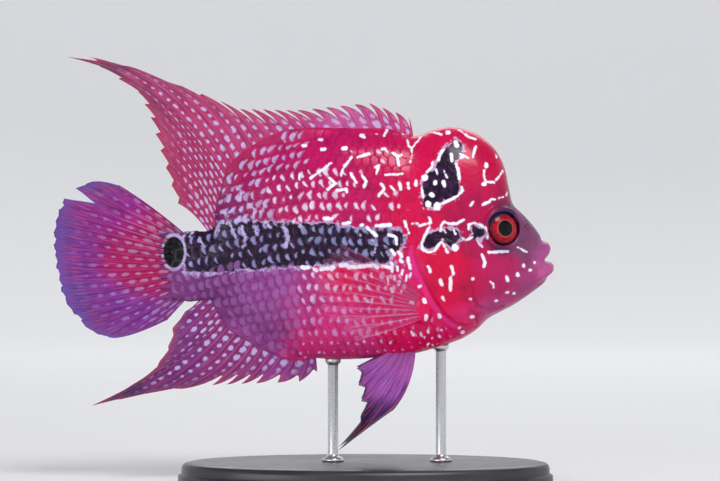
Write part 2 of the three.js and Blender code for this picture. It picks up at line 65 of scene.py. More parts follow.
# Body sections in millimetres: back [x, z], belly [x, z], half width, and where it is widest.
STATIONS = (
    ((-31.4, 59.1), (-31.4, 44.2), 0.9, 0.50),
    ((-27.8, 60.3), (-27.8, 43.3), 1.7, 0.50),
    ((-21.6, 60.9), (-21.6, 43.7), 3.1, 0.50),
    ((-19.7, 66.5), (-18.5, 42.3), 3.8, 0.48),
    ((-15.1, 73.0), (-15.1, 39.9), 4.9, 0.48),
    ((-6.7, 79.0), (-7.4, 34.6), 6.9, 0.48),
    ((0.5, 81.8), (-0.2, 30.5), 8.6, 0.48),
    ((8.9, 83.6), (7.7, 29.5), 10.0, 0.48),
    ((20.9, 83.9), (19.7, 30.1), 10.9, 0.48),
    ((27.6, 83.2), (27.6, 31.1), 11.1, 0.48),
    ((31.0, 84.5), (31.0, 32.0), 11.1, 0.47),
    ((35.3, 85.3), (34.8, 33.2), 11.0, 0.46),
    ((41.3, 83.8), (38.6, 34.7), 10.8, 0.44),
    ((45.8, 80.2), (41.8, 36.8), 10.4, 0.42),
    ((48.2, 75.9), (44.4, 39.3), 9.7, 0.42),
    ((49.4, 70.6), (47.3, 40.9), 9.0, 0.44),
    ((50.4, 66.7), (50.2, 42.4), 8.1, 0.46),
    ((52.8, 64.3), (53.0, 44.2), 6.9, 0.46),
    ((55.2, 61.6), (55.4, 45.9), 5.6, 0.46),
    ((56.9, 59.3), (57.6, 47.6), 3.9, 0.46),
)
BODY_NODES = ("head", "nuchal_hump", "lower_jaw", "torso", "tail_base", "gill_cover_right", "gill_cover_left")
SKIN_RINGS = 200
SKIN_SIDES = 88
ROUND_ABOVE = 0.96
ROUND_BELOW = 0.92

# Flesh that climbs the roots of the fins: how far over its length, its spans, and how it thins upwards.
BACK_CLIMB = ((-21, -16, -4, 8, 20, 26), (1.0, 4.4, 4.0, 1.4, 0.4, 0.2))
BELLY_CLIMB = ((-22, -16, -6, 0, 3), (1.0, 4.2, 3.2, 1.4, 0.6))
BACK_SHEATH = (-20.6, 25.5)
BELLY_SHEATH = (-21.5, 2.4)
SHEATH_RADII = (1.5, 1.15, 0.85, 0.6)
TAIL_FAN_X = (-27, -31, -34.6)
TAIL_FAN_HALF = 6.4

# Head features in millimetres, as in the solids.
UPPER_LIP = ((57.6, 0, 56.1), (57.3, 1.7, 55.6), (56.4, 3.1, 54.2), (55.2, 4.1, 52.2), (54.3, 4.7, 50.6))
UPPER_LIP_RADII = (1.85, 1.85, 1.6, 1.25, 0.7)
LOWER_LIP = ((58.7, 0, 51.5), (58.4, 1.4, 51.2), (57.5, 2.7, 50.4), (56.4, 3.6, 49.4), (55.2, 4.2, 48.4))
LOWER_LIP_RADII = (1.6, 1.6, 1.45, 1.15, 0.6)
MOUTH_FILLING = (((55.9, 0, 53.6), (1.7, 3.9, 3.4)), ((56.0, 0, 49.9), (2.7, 3.7, 2.8)))
GILL_OUTLINE = ((26.6, 56.7), (26.4, 54.3), (27.6, 50.7), (29.5, 47.1), (31.4, 43.5), (33.6, 40.4),
                (36.2, 38.3), (39.4, 37.5), (41.6, 37.7), (40.4, 40.6), (40.1, 43.0), (39.6, 47.3),
                (38.6, 52.9), (37.7, 57.2), (34.1, 58.6), (30.5, 58.4))
CHEEK_EDGE = ((37.9, 58.4), (38.6, 52.9), (39.6, 48.5), (40.2, 44.5), (41.2, 42.3), (43.7, 41.8),
              (47.3, 42.6))
GILL_FRONT = 37
CHEEK_REAR = 38
SLIT_FRONT = 36.5
SLIT_TOP = 57.0
EYE_CENTRE = (47.6, 60.8)
EYE_RADIUS = 3.9
EYE_BULGE = 1.7
EYE_SINK = 0.35
EYE_RINGS = 60
EYE_SIDES = 96
CORNEA_RISE = 0.28
CORNEA_REACH = 1.7
PUPIL_SHIFT = 0.1
BROW_REACH = EYE_RADIUS + 0.675
NOSTRIL = (53.4, 61.3)
PECTORAL_BASE = (28.4, 42.2)
PECTORAL_BASE_RADII = (2.1, 1.7, 4.0)
JOWL = (45.0, 47.5)
JOWL_REACH = (5.5, 4.5)
JAW_GROOVE = ((53.0, 55.8), (52.6, 52.0), (52.2, 49.2))

# Fins: key rays by number, each with its root, the point that bends it and its tip [x, z].
DORSAL_KEYS = (
    (0, (26.6, None), (26.4, 85.5), (25.4, 87.7)),
    (3, (20.4, None), (19.4, 88.6), (15.8, 91.0)),
    (8, (6.5, None), (4.1, 87.2), (-1.4, 89.3)),
    (13, (-5.5, None), (-8.9, 85.5), (-15.1, 89.6)),
    (16, (-12.2, None), (-18.0, 88.9), (-29.5, 95.3)),
    (17, (-13.7, None), (-24.7, 95.3), (-42.0, 99.9)),
    (18, (-14.9, None), (-29.5, 99.4), (-53.0, 102.3)),
    (19, (-15.8, None), (-32.9, 98.4), (-57.1, 102.1)),
    (20, (-16.8, None), (-31.9, 95.6), (-49.2, 99.9)),
    (22, (-18.5, None), (-28.3, 86.9), (-39.8, 93.9)),
    (24, (-19.7, None), (-27.8, 80.2), (-36.7, 87.7)),
    (26, (-20.4, None), (-27.1, 74.5), (-34.3, 79.7)),
    (29, (-21.6, None), (-25.9, 65.1), (-30.2, 67.0)),
)
ANAL_KEYS = (
    (0, (2.9, None), (3.4, 27.9), (3.4, 26.5)),
    (1, (1.7, None), (0.7, 26.5), (-1.0, 24.1)),
    (3, (-3.1, None), (-6.2, 27.4), (-11.3, 23.8)),
    (6, (-9.4, None), (-13.9, 27.4), (-21.8, 23.3)),
    (8, (-12.7, None), (-22.8, 24.1), (-36.7, 21.4)),
    (10, (-15.6, None), (-32.9, 23.1), (-51.1, 18.3)),
    (11, (-17.0, None), (-27.6, 28.9), (-38.4, 25.0)),
    (12, (-18.2, None), (-26.6, 32.9), (-34.3, 29.3)),
    (13, (-19.4, None), (-26.6, 37.0), (-32.4, 32.9)),
    (14, (-20.9, None), (-26.6, 40.6), (-31.4, 37.0)),
    (15, (-23.0, None), (-25.7, 42.2), (-28.3, 41.0)),
)
CAUDAL_KEYS = (
    (0, (-28.6, 59.9), (-37.2, 67.3), (-45.8, 72.3)),
    (1, (-28.8, 59.1), (-37.9, 66.5), (-50.6, 72.8)),
    (2, (-29.0, 58.1), (-40.3, 64.6), (-55.4, 70.9)),
    (3, (-29.3, 57.2), (-41.5, 62.5), (-57.4, 68.0)),
    (4, (-29.5, 56.2), (-42.7, 60.5), (-59.0, 65.6)),
    (6, (-29.5, 54.3), (-43.9, 56.9), (-60.1, 60.1)),
    (8, (-29.5, 52.4), (-45.1, 52.9), (-59.9, 54.1)),
    (10, (-29.5, 50.5), (-45.1, 48.1), (-59.0, 48.1)),
    (12, (-29.5, 48.5), (-43.9, 43.3), (-56.9, 42.8)),
    (14, (-29.3, 46.6), (-41.5, 39.9), (-52.8, 37.3)),
    (15, (-29.1, 45.8), (-39.4, 39.2), (-49.0, 34.9)),
    (16, (-28.8, 44.9), (-37.2, 38.2), (-45.2, 33.9)),
    (17, (-28.5, 44.2), (-34.5, 39.3), (-40.2, 35.5)),
    (18, (-28.3, 43.6), (-31.4, 40.4), (-32.9, 38.5)),
)
PELVIC_KEYS = (
    (0, (27.0, 32.3), (26.6, 23.3), (21.6, 17.6)),
    (1, (26.0, 32.3), (22.7, 19.3), (7.9, 7.5)),
    (2, (25.0, 32.3), (20.6, 21.7), (14.0, 16.2)),
    (3, (24.0, 32.3), (19.2, 24.1), (13.9, 19.8)),
    (4, (23.0, 32.3), (17.8, 27.0), (13.1, 23.5)),
    (5, (22.1, 32.3), (16.9, 29.7), (12.7, 27.5)),
)
PECTORAL_KEYS = (
    (0, (28.6, 45.0), (18.0, 53.5), (8.5, 57.6)),
    (3, (28.3, 43.4), (16.0, 48.6), (2.6, 51.2)),
    (7, (28.1, 41.5), (17.0, 42.0), (3.6, 42.2)),
    (10, (28.3, 39.6), (21.0, 36.6), (12.6, 34.2)),
)
DORSAL_SPINES = 15
ANAL_SPINES = 7
FIN_SINK = 2.6
PELVIC_ROOT_Y = 2.4
PELVIC_TIP_Y = 5.6
PECTORAL_LIFT = 0.9
PECTORAL_SPLAY = 4.2

# The share of red, green and blue that each zone keeps in plain white light.
PLAIN_LIGHT = (0.97, 1.0, 0.76)
# Colour zones of the flank on the side view's grid: place, reach and colour (sRGB, 0 to 255).
FLESH_ZONES = (
    (450, 150, 26, (208, 8, 84)), (420, 180, 26, (216, 6, 86)), (488, 165, 20, (200, 8, 78)),
    (470, 205, 18, (186, 12, 88)), (385, 165, 26, (200, 10, 98)), (335, 160, 24, (196, 14, 108)),
    (340, 200, 24, (196, 18, 110)), (285, 175, 22, (184, 26, 112)), (250, 190, 18, (168, 30, 108)),
    (235, 212, 14, (136, 36, 116)), (225, 230, 12, (108, 36, 116)), (225, 285, 16, (124, 50, 136)),
    (265, 295, 22, (150, 64, 158)), (305, 305, 16, (186, 56, 152)), (340, 325, 24, (226, 50, 146)),
    (355, 280, 16, (226, 8, 88)), (400, 300, 22, (228, 10, 100)), (430, 335, 18, (240, 14, 110)),
    (445, 275, 18, (218, 0, 74)), (470, 280, 12, (196, 12, 90)), (495, 275, 16, (188, 26, 106)),
    (500, 310, 14, (190, 60, 144)), (525, 285, 12, (172, 62, 140)), (525, 235, 16, (124, 62, 116)),
    (543, 250, 9, (172, 78, 160)), (545, 268, 9, (194, 88, 164)), (502, 210, 9, (106, 34, 88)),
    # (500, 247) is a painted shade under the eye.
    (500, 247, 6, (96, 34, 88)), (475, 238, 12, (180, 18, 90)), (410, 275, 10, (222, 40, 132)),
    (465, 324, 12, (226, 36, 124)), (190, 290, 12, (124, 54, 136)), (190, 240, 12, (104, 46, 124)),
    (238, 162, 12, (170, 34, 100)), (216, 192, 11, (152, 34, 104)), (262, 138, 12, (184, 40, 108)),
    (300, 134, 10, (190, 34, 108)), (504, 190, 9, (166, 16, 84)),
)
FIN_ZONES = (
    (400, 118, 20, (206, 70, 150)), (350, 115, 22, (208, 98, 184)), (290, 120, 22, (198, 70, 146)),
    (240, 125, 22, (196, 72, 142)), (240, 165, 20, (194, 56, 128)), (200, 180, 20, (188, 56, 124)),
    (190, 130, 22, (190, 66, 132)), (150, 90, 22, (176, 70, 134)), (90, 62, 24, (126, 54, 112)),
    (175, 245, 12, (134, 32, 110)), (130, 245, 22, (182, 18, 116)), (135, 275, 16, (182, 12, 102)),
    (110, 215, 22, (152, 38, 164)), (120, 305, 20, (134, 54, 176)), (75, 250, 18, (136, 46, 174)),
    (62, 235, 10, (110, 66, 188)), (70, 300, 12, (110, 68, 190)), (100, 186, 12, (130, 60, 164)),
    (290, 365, 18, (156, 62, 166)), (235, 340, 22, (148, 52, 142)), (220, 370, 16, (150, 54, 142)),
    (180, 350, 20, (132, 54, 148)), (170, 380, 16, (126, 50, 136)), (115, 398, 18, (64, 34, 118)),
    (405, 365, 14, (182, 98, 204)), (385, 385, 14, (168, 92, 206)), (385, 412, 12, (80, 34, 116)),
    (345, 440, 18, (36, 8, 56)), (412, 392, 8, (80, 24, 96)),
)

# White worm marks and pearls on the grid: width, then the places that each runs through.
WHITE_MARKS = (
    (1.4, 407, 141, 408, 146, 411, 149, 411, 156, 410, 163), (1.3, 422, 136, 411, 149),
    (1.4, 425, 134, 429, 131, 433, 133, 441, 135), (4.0, 447, 133, 448, 133), (1.4, 458, 130, 462, 133),
    (1.8, 465, 135, 469, 138, 475, 140), (4.4, 455, 143, 456, 146), (2.0, 475, 147, 473, 152, 472, 158),
    (2.4, 437, 161, 439, 156, 442, 151), (2.5, 450, 155, 451, 162), (1.6, 459, 155, 467, 159),
    (1.5, 458, 160, 461, 158), (2.0, 432, 163, 431, 168, 426, 173), (1.4, 435, 170, 436, 175),
    (2.4, 455, 165, 457, 172, 458, 180), (1.0, 443, 172, 446, 178), (5.6, 424, 178, 424, 179),
    (3.4, 434, 183, 434, 184), (3.6, 442, 183, 443, 186), (2.0, 421, 188, 422, 198),
    (4.2, 430, 195, 431, 196), (2.2, 460, 188, 461, 191, 457, 196, 450, 200, 441, 204),
    (5.6, 427, 204, 427, 205), (6.0, 436, 206, 436, 208), (4.0, 485, 165, 485, 167),
    (1.2, 483, 171, 482, 176, 484, 182), (3.6, 482, 185, 483, 185), (1.7, 485, 183, 493, 183),
    (1.3, 494, 181, 498, 177, 502, 171), (1.6, 496, 156, 496, 158), (2.0, 481, 205, 488, 202),
    (1.5, 489, 200, 494, 200), (1.1, 497, 199, 502, 197), (1.4, 505, 196, 508, 189),
    (1.3, 472, 202, 468, 207), (2.2, 428, 228, 424, 235, 421, 243, 421, 249, 427, 252, 433, 251, 436, 246,
    440, 242, 443, 246, 446, 252), (2.0, 439, 231, 440, 225, 443, 222, 448, 224, 455, 224, 462, 220),
    (1.6, 442, 230, 444, 233), (1.6, 452, 230, 454, 234), (6.0, 453, 247, 454, 248),
    (1.8, 428, 218, 430, 223, 419, 226), (1.6, 411, 224, 417, 224), (2.2, 404, 222, 406, 228, 408, 233),
    (1.8, 467, 229, 467, 225, 472, 223, 478, 225, 483, 228, 486, 233, 485, 238),
    (1.6, 461, 238, 464, 240, 471, 237), (1.2, 475, 241, 480, 247), (2.4, 487, 252, 506, 251),
    (2.4, 480, 254, 483, 262, 482, 266), (1.2, 516, 247, 525, 252), (3.0, 505, 277, 506, 280),
    (3.0, 516, 273, 516, 275), (1.6, 488, 281, 491, 283, 492, 287), (2.4, 522, 265, 522, 266),
    (2.4, 528, 270, 529, 270), (2.0, 533, 262, 533, 263), (2.4, 505, 292, 506, 292),
    (2.2, 512, 293, 513, 293), (2.2, 494, 300, 495, 300), (2.2, 471, 278, 471, 279),
    (2.0, 468, 298, 469, 298), (3.0, 470, 316, 472, 316), (2.0, 492, 315, 493, 315),
    (2.8, 450, 266, 452, 273), (2.6, 449, 277, 449, 290), (3.2, 439, 280, 441, 284),
    (2.4, 427, 266, 429, 271), (1.8, 441, 296, 443, 300), (3.0, 462, 331, 462, 332),
    (1.8, 458, 327, 459, 327), (2.6, 438, 314, 439, 316), (2.0, 411, 331, 413, 334),
    (3.6, 423, 299, 424, 301), (3.4, 425, 315, 425, 318), (2.4, 410, 301, 412, 302),
    (1.8, 418, 286, 420, 285), (1.6, 420, 332, 421, 335), (1.5, 427, 330, 428, 332),
    (1.4, 424, 336, 424, 337), (1.5, 438, 335, 439, 336), (1.3, 432, 344, 433, 345),
    (1.5, 440, 329, 441, 329), (1.3, 427, 344, 428, 343), (3.0, 322, 150, 325, 150),
    (3.2, 343, 149, 346, 149), (3.0, 361, 136, 364, 137), (2.8, 382, 150, 385, 150),
    (2.6, 303, 146, 306, 146), (1.8, 319, 140, 322, 140), (1.8, 386, 124, 387, 131, 384, 136),
    (1.8, 397, 125, 393, 129), (3.4, 403, 133, 406, 133), (2.0, 331, 164, 326, 168, 319, 173, 311, 179),
    (2.2, 369, 155, 357, 158), (2.0, 352, 158, 349, 162, 344, 168, 341, 176), (2.0, 300, 175, 300, 180),
    (2.0, 330, 179, 336, 184, 328, 190), (2.2, 337, 191, 347, 190, 347, 193), (2.4, 351, 174, 356, 183),
    (2.0, 362, 176, 366, 182, 364, 188), (1.8, 375, 168, 379, 166, 376, 175),
    (2.0, 392, 154, 397, 157, 401, 156), (1.8, 397, 158, 398, 166), (1.8, 385, 176, 394, 175, 402, 175),
    (2.0, 381, 185, 384, 190, 378, 197), (1.8, 390, 187, 394, 191), (2.4, 399, 184, 400, 190),
    (2.2, 407, 184, 408, 189), (2.6, 415, 182, 415, 186), (3.2, 325, 219, 332, 219),
    (3.0, 343, 224, 350, 223), (3.2, 376, 226, 390, 225), (2.6, 367, 228, 369, 230),
    (3.0, 372, 232, 376, 236), (2.8, 361, 225, 362, 225), (3.0, 388, 235, 393, 236),
    (2.2, 395, 237, 396, 244), (3.0, 391, 250, 394, 254), (3.0, 398, 252, 401, 256),
    (3.0, 400, 260, 401, 261), (2.6, 407, 257, 409, 268), (3.4, 303, 267, 309, 267),
    (3.0, 315, 269, 317, 270), (3.6, 322, 269, 328, 268), (4.2, 332, 268, 334, 267),
    (3.6, 341, 265, 347, 265), (3.6, 349, 267, 361, 266), (3.2, 364, 266, 371, 265),
    (3.6, 374, 265, 377, 267), (3.2, 382, 266, 390, 267), (2.4, 391, 262, 392, 271),
    (2.0, 397, 266, 397, 270), (1.8, 402, 270, 401, 274), (2.0, 387, 276, 388, 284),
    (1.9, 394, 276, 394, 279), (1.6, 406, 275, 405, 280), (1.5, 410, 273, 409, 276),
    (1.8, 399, 280, 398, 284), (2.6, 391, 288, 392, 291), (1.7, 401, 290, 400, 293),
)
# Pale lavender froth over the rear of the flank band, in the same form.
FROTH_MARKS = (
    (3.0, 238, 188, 243, 193, 240, 200), (3.2, 214, 220, 219, 226, 216, 233),
    (2.6, 228, 218, 232, 226, 236, 236), (3.0, 243, 226, 246, 238, 244, 246),
    (3.2, 284, 226, 288, 238, 286, 246), (2.4, 266, 222, 272, 228), (2.8, 200, 238, 204, 246),
    (2.4, 222, 212, 228, 214, 233, 210), (2.4, 206, 214, 211, 208), (2.6, 250, 205, 256, 210, 254, 217),
    (2.2, 262, 212, 266, 206), (2.2, 226, 200, 231, 195), (2.4, 190, 236, 194, 230),
    (2.0, 255, 226, 258, 234), (2.2, 300, 224, 303, 230), (2.2, 216, 206, 214, 200),
    (1.8, 372, 240, 376, 246, 374, 252), (1.8, 384, 246, 388, 254), (1.6, 356, 230, 360, 235),
)
# The dark lid over the eye, and a painted shade under the eye, in the same form.
LID_AND_EYE_SHADE_MARKS = ((6.0, 487, 223, 491, 216.5, 500, 212.5, 511, 213), (1.6, 485, 241, 492, 247, 503, 249))
# Dark blotches on the grid, as closed outlines.
DARK_BLOTCHES = (
    ((449, 146), (455, 141), (461, 144), (462, 150), (459, 156), (454, 163), (455, 175), (457, 182),
     (458, 190), (454, 197), (445, 201), (440, 203), (434, 208), (424, 207), (422, 200), (422, 190),
     (423, 182), (428, 174), (434, 168), (437, 160), (442, 152)),
    ((421, 246), (424, 238), (431, 231), (440, 231), (449, 228), (455, 230), (458, 238), (455, 243),
     (450, 247), (446, 244), (441, 240), (437, 244), (433, 249), (425, 248)),
    ((469, 229), (475, 226), (481, 229), (483, 234), (479, 239), (472, 238)),
    ((184, 232), (215, 224), (250, 222), (280, 223), (300, 224), (325, 223), (345, 228), (372, 231),
     (385, 229), (400, 231), (404, 240), (400, 250), (392, 252), (388, 262), (372, 263), (340, 262),
     (318, 265), (290, 266), (262, 268), (240, 269), (212, 273), (186, 272)),
)
TAIL_SPOT = (174, 252)
TAIL_SPOT_RADII = (10.5, 15.5)

# The caudal ray beside which the fin is split.
CAUDAL_SPLIT = 2

# Looks of the fins: strength and spacing of the pale spots, how clear the edge is, and its colour.
FIN_LOOKS = {
    "spotted": (0.9, 2.3, 0.2, (184, 22, 74)),
    "tail": (0.34, 3.1, 0.2, (100, 60, 168)),
    "pelvic": (0.0, 2.3, 0.3, (70, 24, 96)),
}

# The lattice of the scales: length and height of the visible part, and the row that is straight.
SCALE_PITCH = 2.04
SCALE_ROW = 2.75
SCALE_OVERLAP = 1.45
SCALE_TALL = 1.62
SCALE_SHIFT = 0.24
SCALE_ROOT = 0.42
SCALE_SPREAD = 0.06
# Scales shrink towards the tail root, between these two places along the body.
SMALLER_X = -8
SMALLEST_X = -34
SCALE_COLUMNS = range(-31, 57)
SCALE_ROWS = range(-14, 15)
SCALE_INSET = 0.3
BELLY_MARGIN = 0.6
BACK_MARGIN = 0.8
MID_ROW_X = (-29.0, 2.0)
MID_ROW_Z = 57.9
MID_ROW_TAIL_Z = 51.8
DORSAL_FRONT = 26
ANAL_FRONT = 2
# Where the scales end: the outline of the bare head, and the bare skin round a pectoral root.
BARE_HEAD = ((24.6, 90), (25.0, 77), (24.8, 66), (25.2, 57.5), (27.0, 49.5), (30.8, 42.0), (35.2, 37.0),
             (41.5, 30), (70, 30), (70, 90))
BARE_PECTORAL = (3.4, 4.4)
# The flat map of the scales: its first place and span over length and rows, and where it lies in the map.
UNWRAP_FROM = (-34, 0)
UNWRAP_SPAN = (62, 30)
UNWRAP_SHARE = 0.94
UNWRAP_START = (0.02, 0.5)

# The stand. Edge of the base from its foot up: share of the half width, and height.
BASE_EDGE = ((0.985, 0.0), (1.0, 0.35), (1.0, 1.6), (0.992, 1.9), (0.975, 2.05), (0.968, 2.3), (0.968, 3.4),
             (0.96, 4.1), (0.94, 4.6), (0.905, 4.85))
BASE_SIDES = 128
# A rod: its collar with heights over its foot, its cup with depths under its top, in shares of its radius.
ROD_COLLAR = ((2.1, 0.0), (2.1, 0.5), (1.9, 0.9), (1.35, 1.2), (1.08, 1.6), (1.0, 2.2))
ROD_CUP = ((1.0, 1.9), (1.15, 1.5), (1.5, 1.1), (1.55, 0.5), (1.45, 0.0))
ROD_SINK = 0.3
ROD_REACH = 0.4
ROD_SIDES = 40

# Pearls on the scales by region: length and height in millimetres, lean and colour.
PEARLS = {
    "bare": (0.0, 0.0, -0.12, (222, 214, 246)),
    "nape": (0.42, 0.82, -0.12, (228, 218, 250)),
    "rear back": (0.5, 1.05, 0.5, (190, 176, 228)),
    "stray": (0.4, 0.5, -0.12, (222, 214, 246)),
    "rear upper": (0.5, 0.86, 0.3, (192, 176, 228)),
    "upper": (0.42, 0.78, 0.0, (230, 220, 250)),
    "rear band": (0.42, 0.86, -0.12, (158, 150, 212)),
    "band": (0.46, 0.8, -0.12, (146, 152, 200)),
    "rear flank": (0.7, 1.15, -0.12, (164, 112, 184)),
    "flank": (0.42, 0.74, -0.12, (226, 196, 240)),
    "lower flank": (0.4, 0.7, -0.12, (216, 150, 212)),
    "belly": (0.3, 0.44, -0.12, (232, 190, 236)),
}
# Where the regions of pearls meet: heights on the grid from the back down, then places along it.
NAPE_TOP = 170
NAPE_FOOT = 192
UPPER_FOOT = 222
BAND_FOOT = 265
FRINGE_FOOT = 274
FLANK_FOOT = 300
LOWER_FOOT = 335
NAPE_REAR = 268
REAR_UPPER = 275
REAR_BAND = 300
REAR_FLANK = 302
REAR_BACK = 312
SPARSE_UPPER = 345
NAPE_FRONT = 352
NEAR_HEAD = 400

# The round studio floor, in millimetres.
FLOOR_FLAT = 900
FLOOR_BEND = 600
FLOOR_TOP = 1100
FLOOR_SIDES = 96

# Lights: place and size in metres, and the share of the main light's power.
LIGHTS = (
    ("light_key", (0.3, -0.65, 0.95), (0.4, 0.4), 1.0),
    ("light_fill", (-0.8, -0.9, 0.12), (0.7, 0.7), 0.7),
    ("light_back", (0.1, 0.75, 0.7), (0.8, 0.5), 0.55),
)
LIT_MIDDLE = (0.0, 0.0, 0.058)
STUDIO_COLOUR = (0.82, 0.85, 0.9, 1)
STUDIO_STRENGTH = 0.32
SENSOR_WIDTH = 36.0


def grid_points(places):
    """Places on the side view's grid, in millimetres."""
    places = np.asarray(places, float)
    return np.stack([(places[..., 0] - GRID_X) * GRID_STEP, (GRID_Z - places[..., 1]) * GRID_STEP], axis=-1)


def linear_colour(rgb):
    """An sRGB colour of 0 to 255 as a linear one."""
    share = np.asarray(rgb, float) / 255.0
    return np.where(share <= 0.04045, share / 12.92, ((share + 0.055) / 1.055) ** 2.4)


def flank(side):
    return "left" if side > 0 else "right"


def smooth_step(low, high, value):
    share = np.clip((value - low) / (high - low), 0, 1)
    return share * share * (3 - 2 * share)


def smooth_line(points):
    """A smooth curve through points, read at shares of 0 to 1 with the points evenly spaced."""
    points = np.asarray(points, float)
    last = len(points) - 1
    padded = np.vstack([2 * points[0] - points[1], points, 2 * points[-1] - points[-2]])

    def at(share):
        place = np.clip(np.atleast_1d(share) * last, 0, last - 1e-9)
        low = place.astype(int)
        t = (place - low)[:, None]
        p0, p1, p2, p3 = (padded[low + k] for k in range(4))
        d0, d1, d2 = (np.sqrt(np.maximum(np.linalg.norm(b - a, axis=1, keepdims=True), 1e-9))
                      for a, b in ((p0, p1), (p1, p2), (p2, p3)))
        t1 = ((p1 - p0) / d0 - (p2 - p0) / (d0 + d1) + (p2 - p1) / d1) * d1
        t2 = ((p2 - p1) / d1 - (p3 - p1) / (d1 + d2) + (p3 - p2) / d2) * d1
        return (2 * p1 - 2 * p2 + t1 + t2) * t**3 + (-3 * p1 + 3 * p2 - 2 * t1 - t2) * t**2 + t1 * t + p1

    return at


BACK_LINE = smooth_line([station[0] for station in STATIONS])
BELLY_LINE = smooth_line([station[1] for station in STATIONS])
GIRTH_LINE = smooth_line([(i, station[2], station[3]) for i, station in enumerate(STATIONS)])


def height_on(line, x):
    """The height of the back or belly line over x."""
    samples = line(np.linspace(0, 0.7, 400))
    order = np.argsort(samples[:, 0])
    return np.interp(x, samples[order, 0], samples[order, 1])


def distance_to_line(points, line):
    """Distance from each point to an open line."""
    line = np.asarray(line, float)
    best = np.full(len(points), 1e9)
    for a, b in zip(line[:-1], line[1:]):
        run = b - a
        share = np.clip(((points - a) @ run) / max(run @ run, 1e-9), 0, 1)
        best = np.minimum(best, np.linalg.norm(points - a - share[:, None] * run, axis=1))
    return best


def distance_to_outline(points, outline):
    """Distance to a closed outline, below zero inside it."""
    outline = np.asarray(outline, float)
    closed = np.vstack([outline, outline[:1]])
    inside = np.zeros(len(points), bool)
    for (ax, az), (bx, bz) in zip(closed[:-1], closed[1:]):
        crosses = (az > points[:, 1]) != (bz > points[:, 1])
        slope = (bx - ax) / (bz - az) if bz != az else 0.0
        inside ^= crosses & (points[:, 0] < ax + (points[:, 1] - az) * slope)
    reach = distance_to_line(points, closed)
    return np.where(inside, -reach, reach)


def zone_colours(points, zones):
    """Colours blended from the zones, for points [x, z] in millimetres."""
    total = np.zeros((len(points), 3))
    weights = np.zeros((len(points), 1))
    for x, y, reach, rgb in zones:
        centre = grid_points((x, y))
        away = np.linalg.norm(points - centre, axis=1) / (reach * GRID_STEP)
        weight = np.exp(-away**2)[:, None] + 1e-9
        total += weight * linear_colour(rgb)
        weights += weight
    return total / weights * PLAIN_LIGHT


def mark_distance(points, marks):
    """Distance to the edge of the nearest of some marks, below zero inside one."""
    best = np.full(len(points), FAR)
    for width, *flat in marks:
        line = grid_points(np.reshape(flat, (-1, 2)))
        low = line.min(0) - 3
        high = line.max(0) + 3
        near = np.all((points > low) & (points < high), axis=1)
        if near.any():
            reach = distance_to_line(points[near], line) - width * GRID_STEP / 2
            best[near] = np.minimum(best[near], reach)
    return best


def dark_distance(points):
    """Distance to the edge of the nearest dark blotch, below zero inside one."""
    best = np.full(len(points), FAR)
    for outline in DARK_BLOTCHES:
        best = np.minimum(best, distance_to_outline(points, grid_points(outline)))
    return best


def tail_spot_distance(points):
    centre = grid_points(TAIL_SPOT)
    radii = np.array(TAIL_SPOT_RADII) * GRID_STEP
    return (np.linalg.norm((points - centre) / radii, axis=1) - 1) * radii.mean()


# Meshes


def new_object(name, points_mm, faces):
    """A smooth mesh object from points in millimetres."""
    mesh = bpy.data.meshes.new(name)
    mesh.from_pydata((np.asarray(points_mm) * MM).tolist(), [], faces)
    mesh.update()
    mesh.shade_smooth()
    made = bpy.data.objects.new(name, mesh)
    bpy.context.scene.collection.objects.link(made)
    return made


def own(made, nodes=(), material=None):
    """Ride on the one body, stand for solids and take a finish."""
    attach(made, "root")
    if nodes:
        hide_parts(*nodes)
    if material:
        made.data.materials.clear()
        made.data.materials.append(material)
    return made


def add_values(mesh, name, values):
    layer = mesh.attributes.new(name, "FLOAT", "POINT")
    layer.data.foreach_set("value", np.asarray(values, np.float32))


def add_colours(mesh, name, colours):
    layer = mesh.attributes.new(name, "FLOAT_COLOR", "POINT")
    rgba = np.ones((len(colours), 4), np.float32)
    rgba[:, :3] = colours
    layer.data.foreach_set("color", rgba.ravel())


def grid_faces(rows, columns, start=0, wrap=False):
    """Quads of a grid of rows of points, wrapped round if asked."""
    faces = []
    for row in range(rows - 1):
        for column in range(columns if wrap else columns - 1):
            after = (column + 1) % columns
            a = start + row * columns
            faces.append((a + column, a + after, a + columns + after, a + columns + column))
    return faces


def turned(rings, sides):
    """Faces of a turned form: its rings of points, closed at both ends."""
    faces = grid_faces(rings, sides, wrap=True)
    faces.append(tuple(range(sides))[::-1])
    faces.append(tuple(range((rings - 1) * sides, rings * sides)))
    return faces


def tube(path, radii, sides=16):
    """Points and faces of a tapered tube along a path, closed at both ends."""
    path = np.asarray(path, float)
    tangents = np.gradient(path, axis=0)
    tangents /= np.linalg.norm(tangents, axis=1, keepdims=True)
    normal = np.cross(tangents[0], (0.31, 0.12, 0.94))
    rings = []
    for centre, tangent, radius in zip(path, tangents, radii):
        normal = normal - tangent * (normal @ tangent)
        normal /= np.linalg.norm(normal)
        other = np.cross(tangent, normal)
        angles = np.arange(sides) * 2 * np.pi / sides
        rings.append(centre + radius * (np.outer(np.cos(angles), normal) + np.outer(np.sin(angles), other)))
    return np.vstack(rings), turned(len(path), sides)


def joined(parts):
    """Several sets of points and faces as one."""
    points = []
    faces = []
    count = 0
    for part_points, part_faces in parts:
        points.append(part_points)
        faces.extend(tuple(index + count for index in face) for face in part_faces)
        count += len(part_points)
    return np.vstack(points), faces


def ellipsoid(centre, radii, rings=20, sides=32):
    polar = np.linspace(0.02, np.pi - 0.02, rings)
    around = np.arange(sides) * 2 * np.pi / sides
    points = np.array([(np.sin(p) * np.cos(a), np.sin(p) * np.sin(a), np.cos(p))
                       for p in polar for a in around])
    return points * np.asarray(radii) + np.asarray(centre), turned(rings, sides)


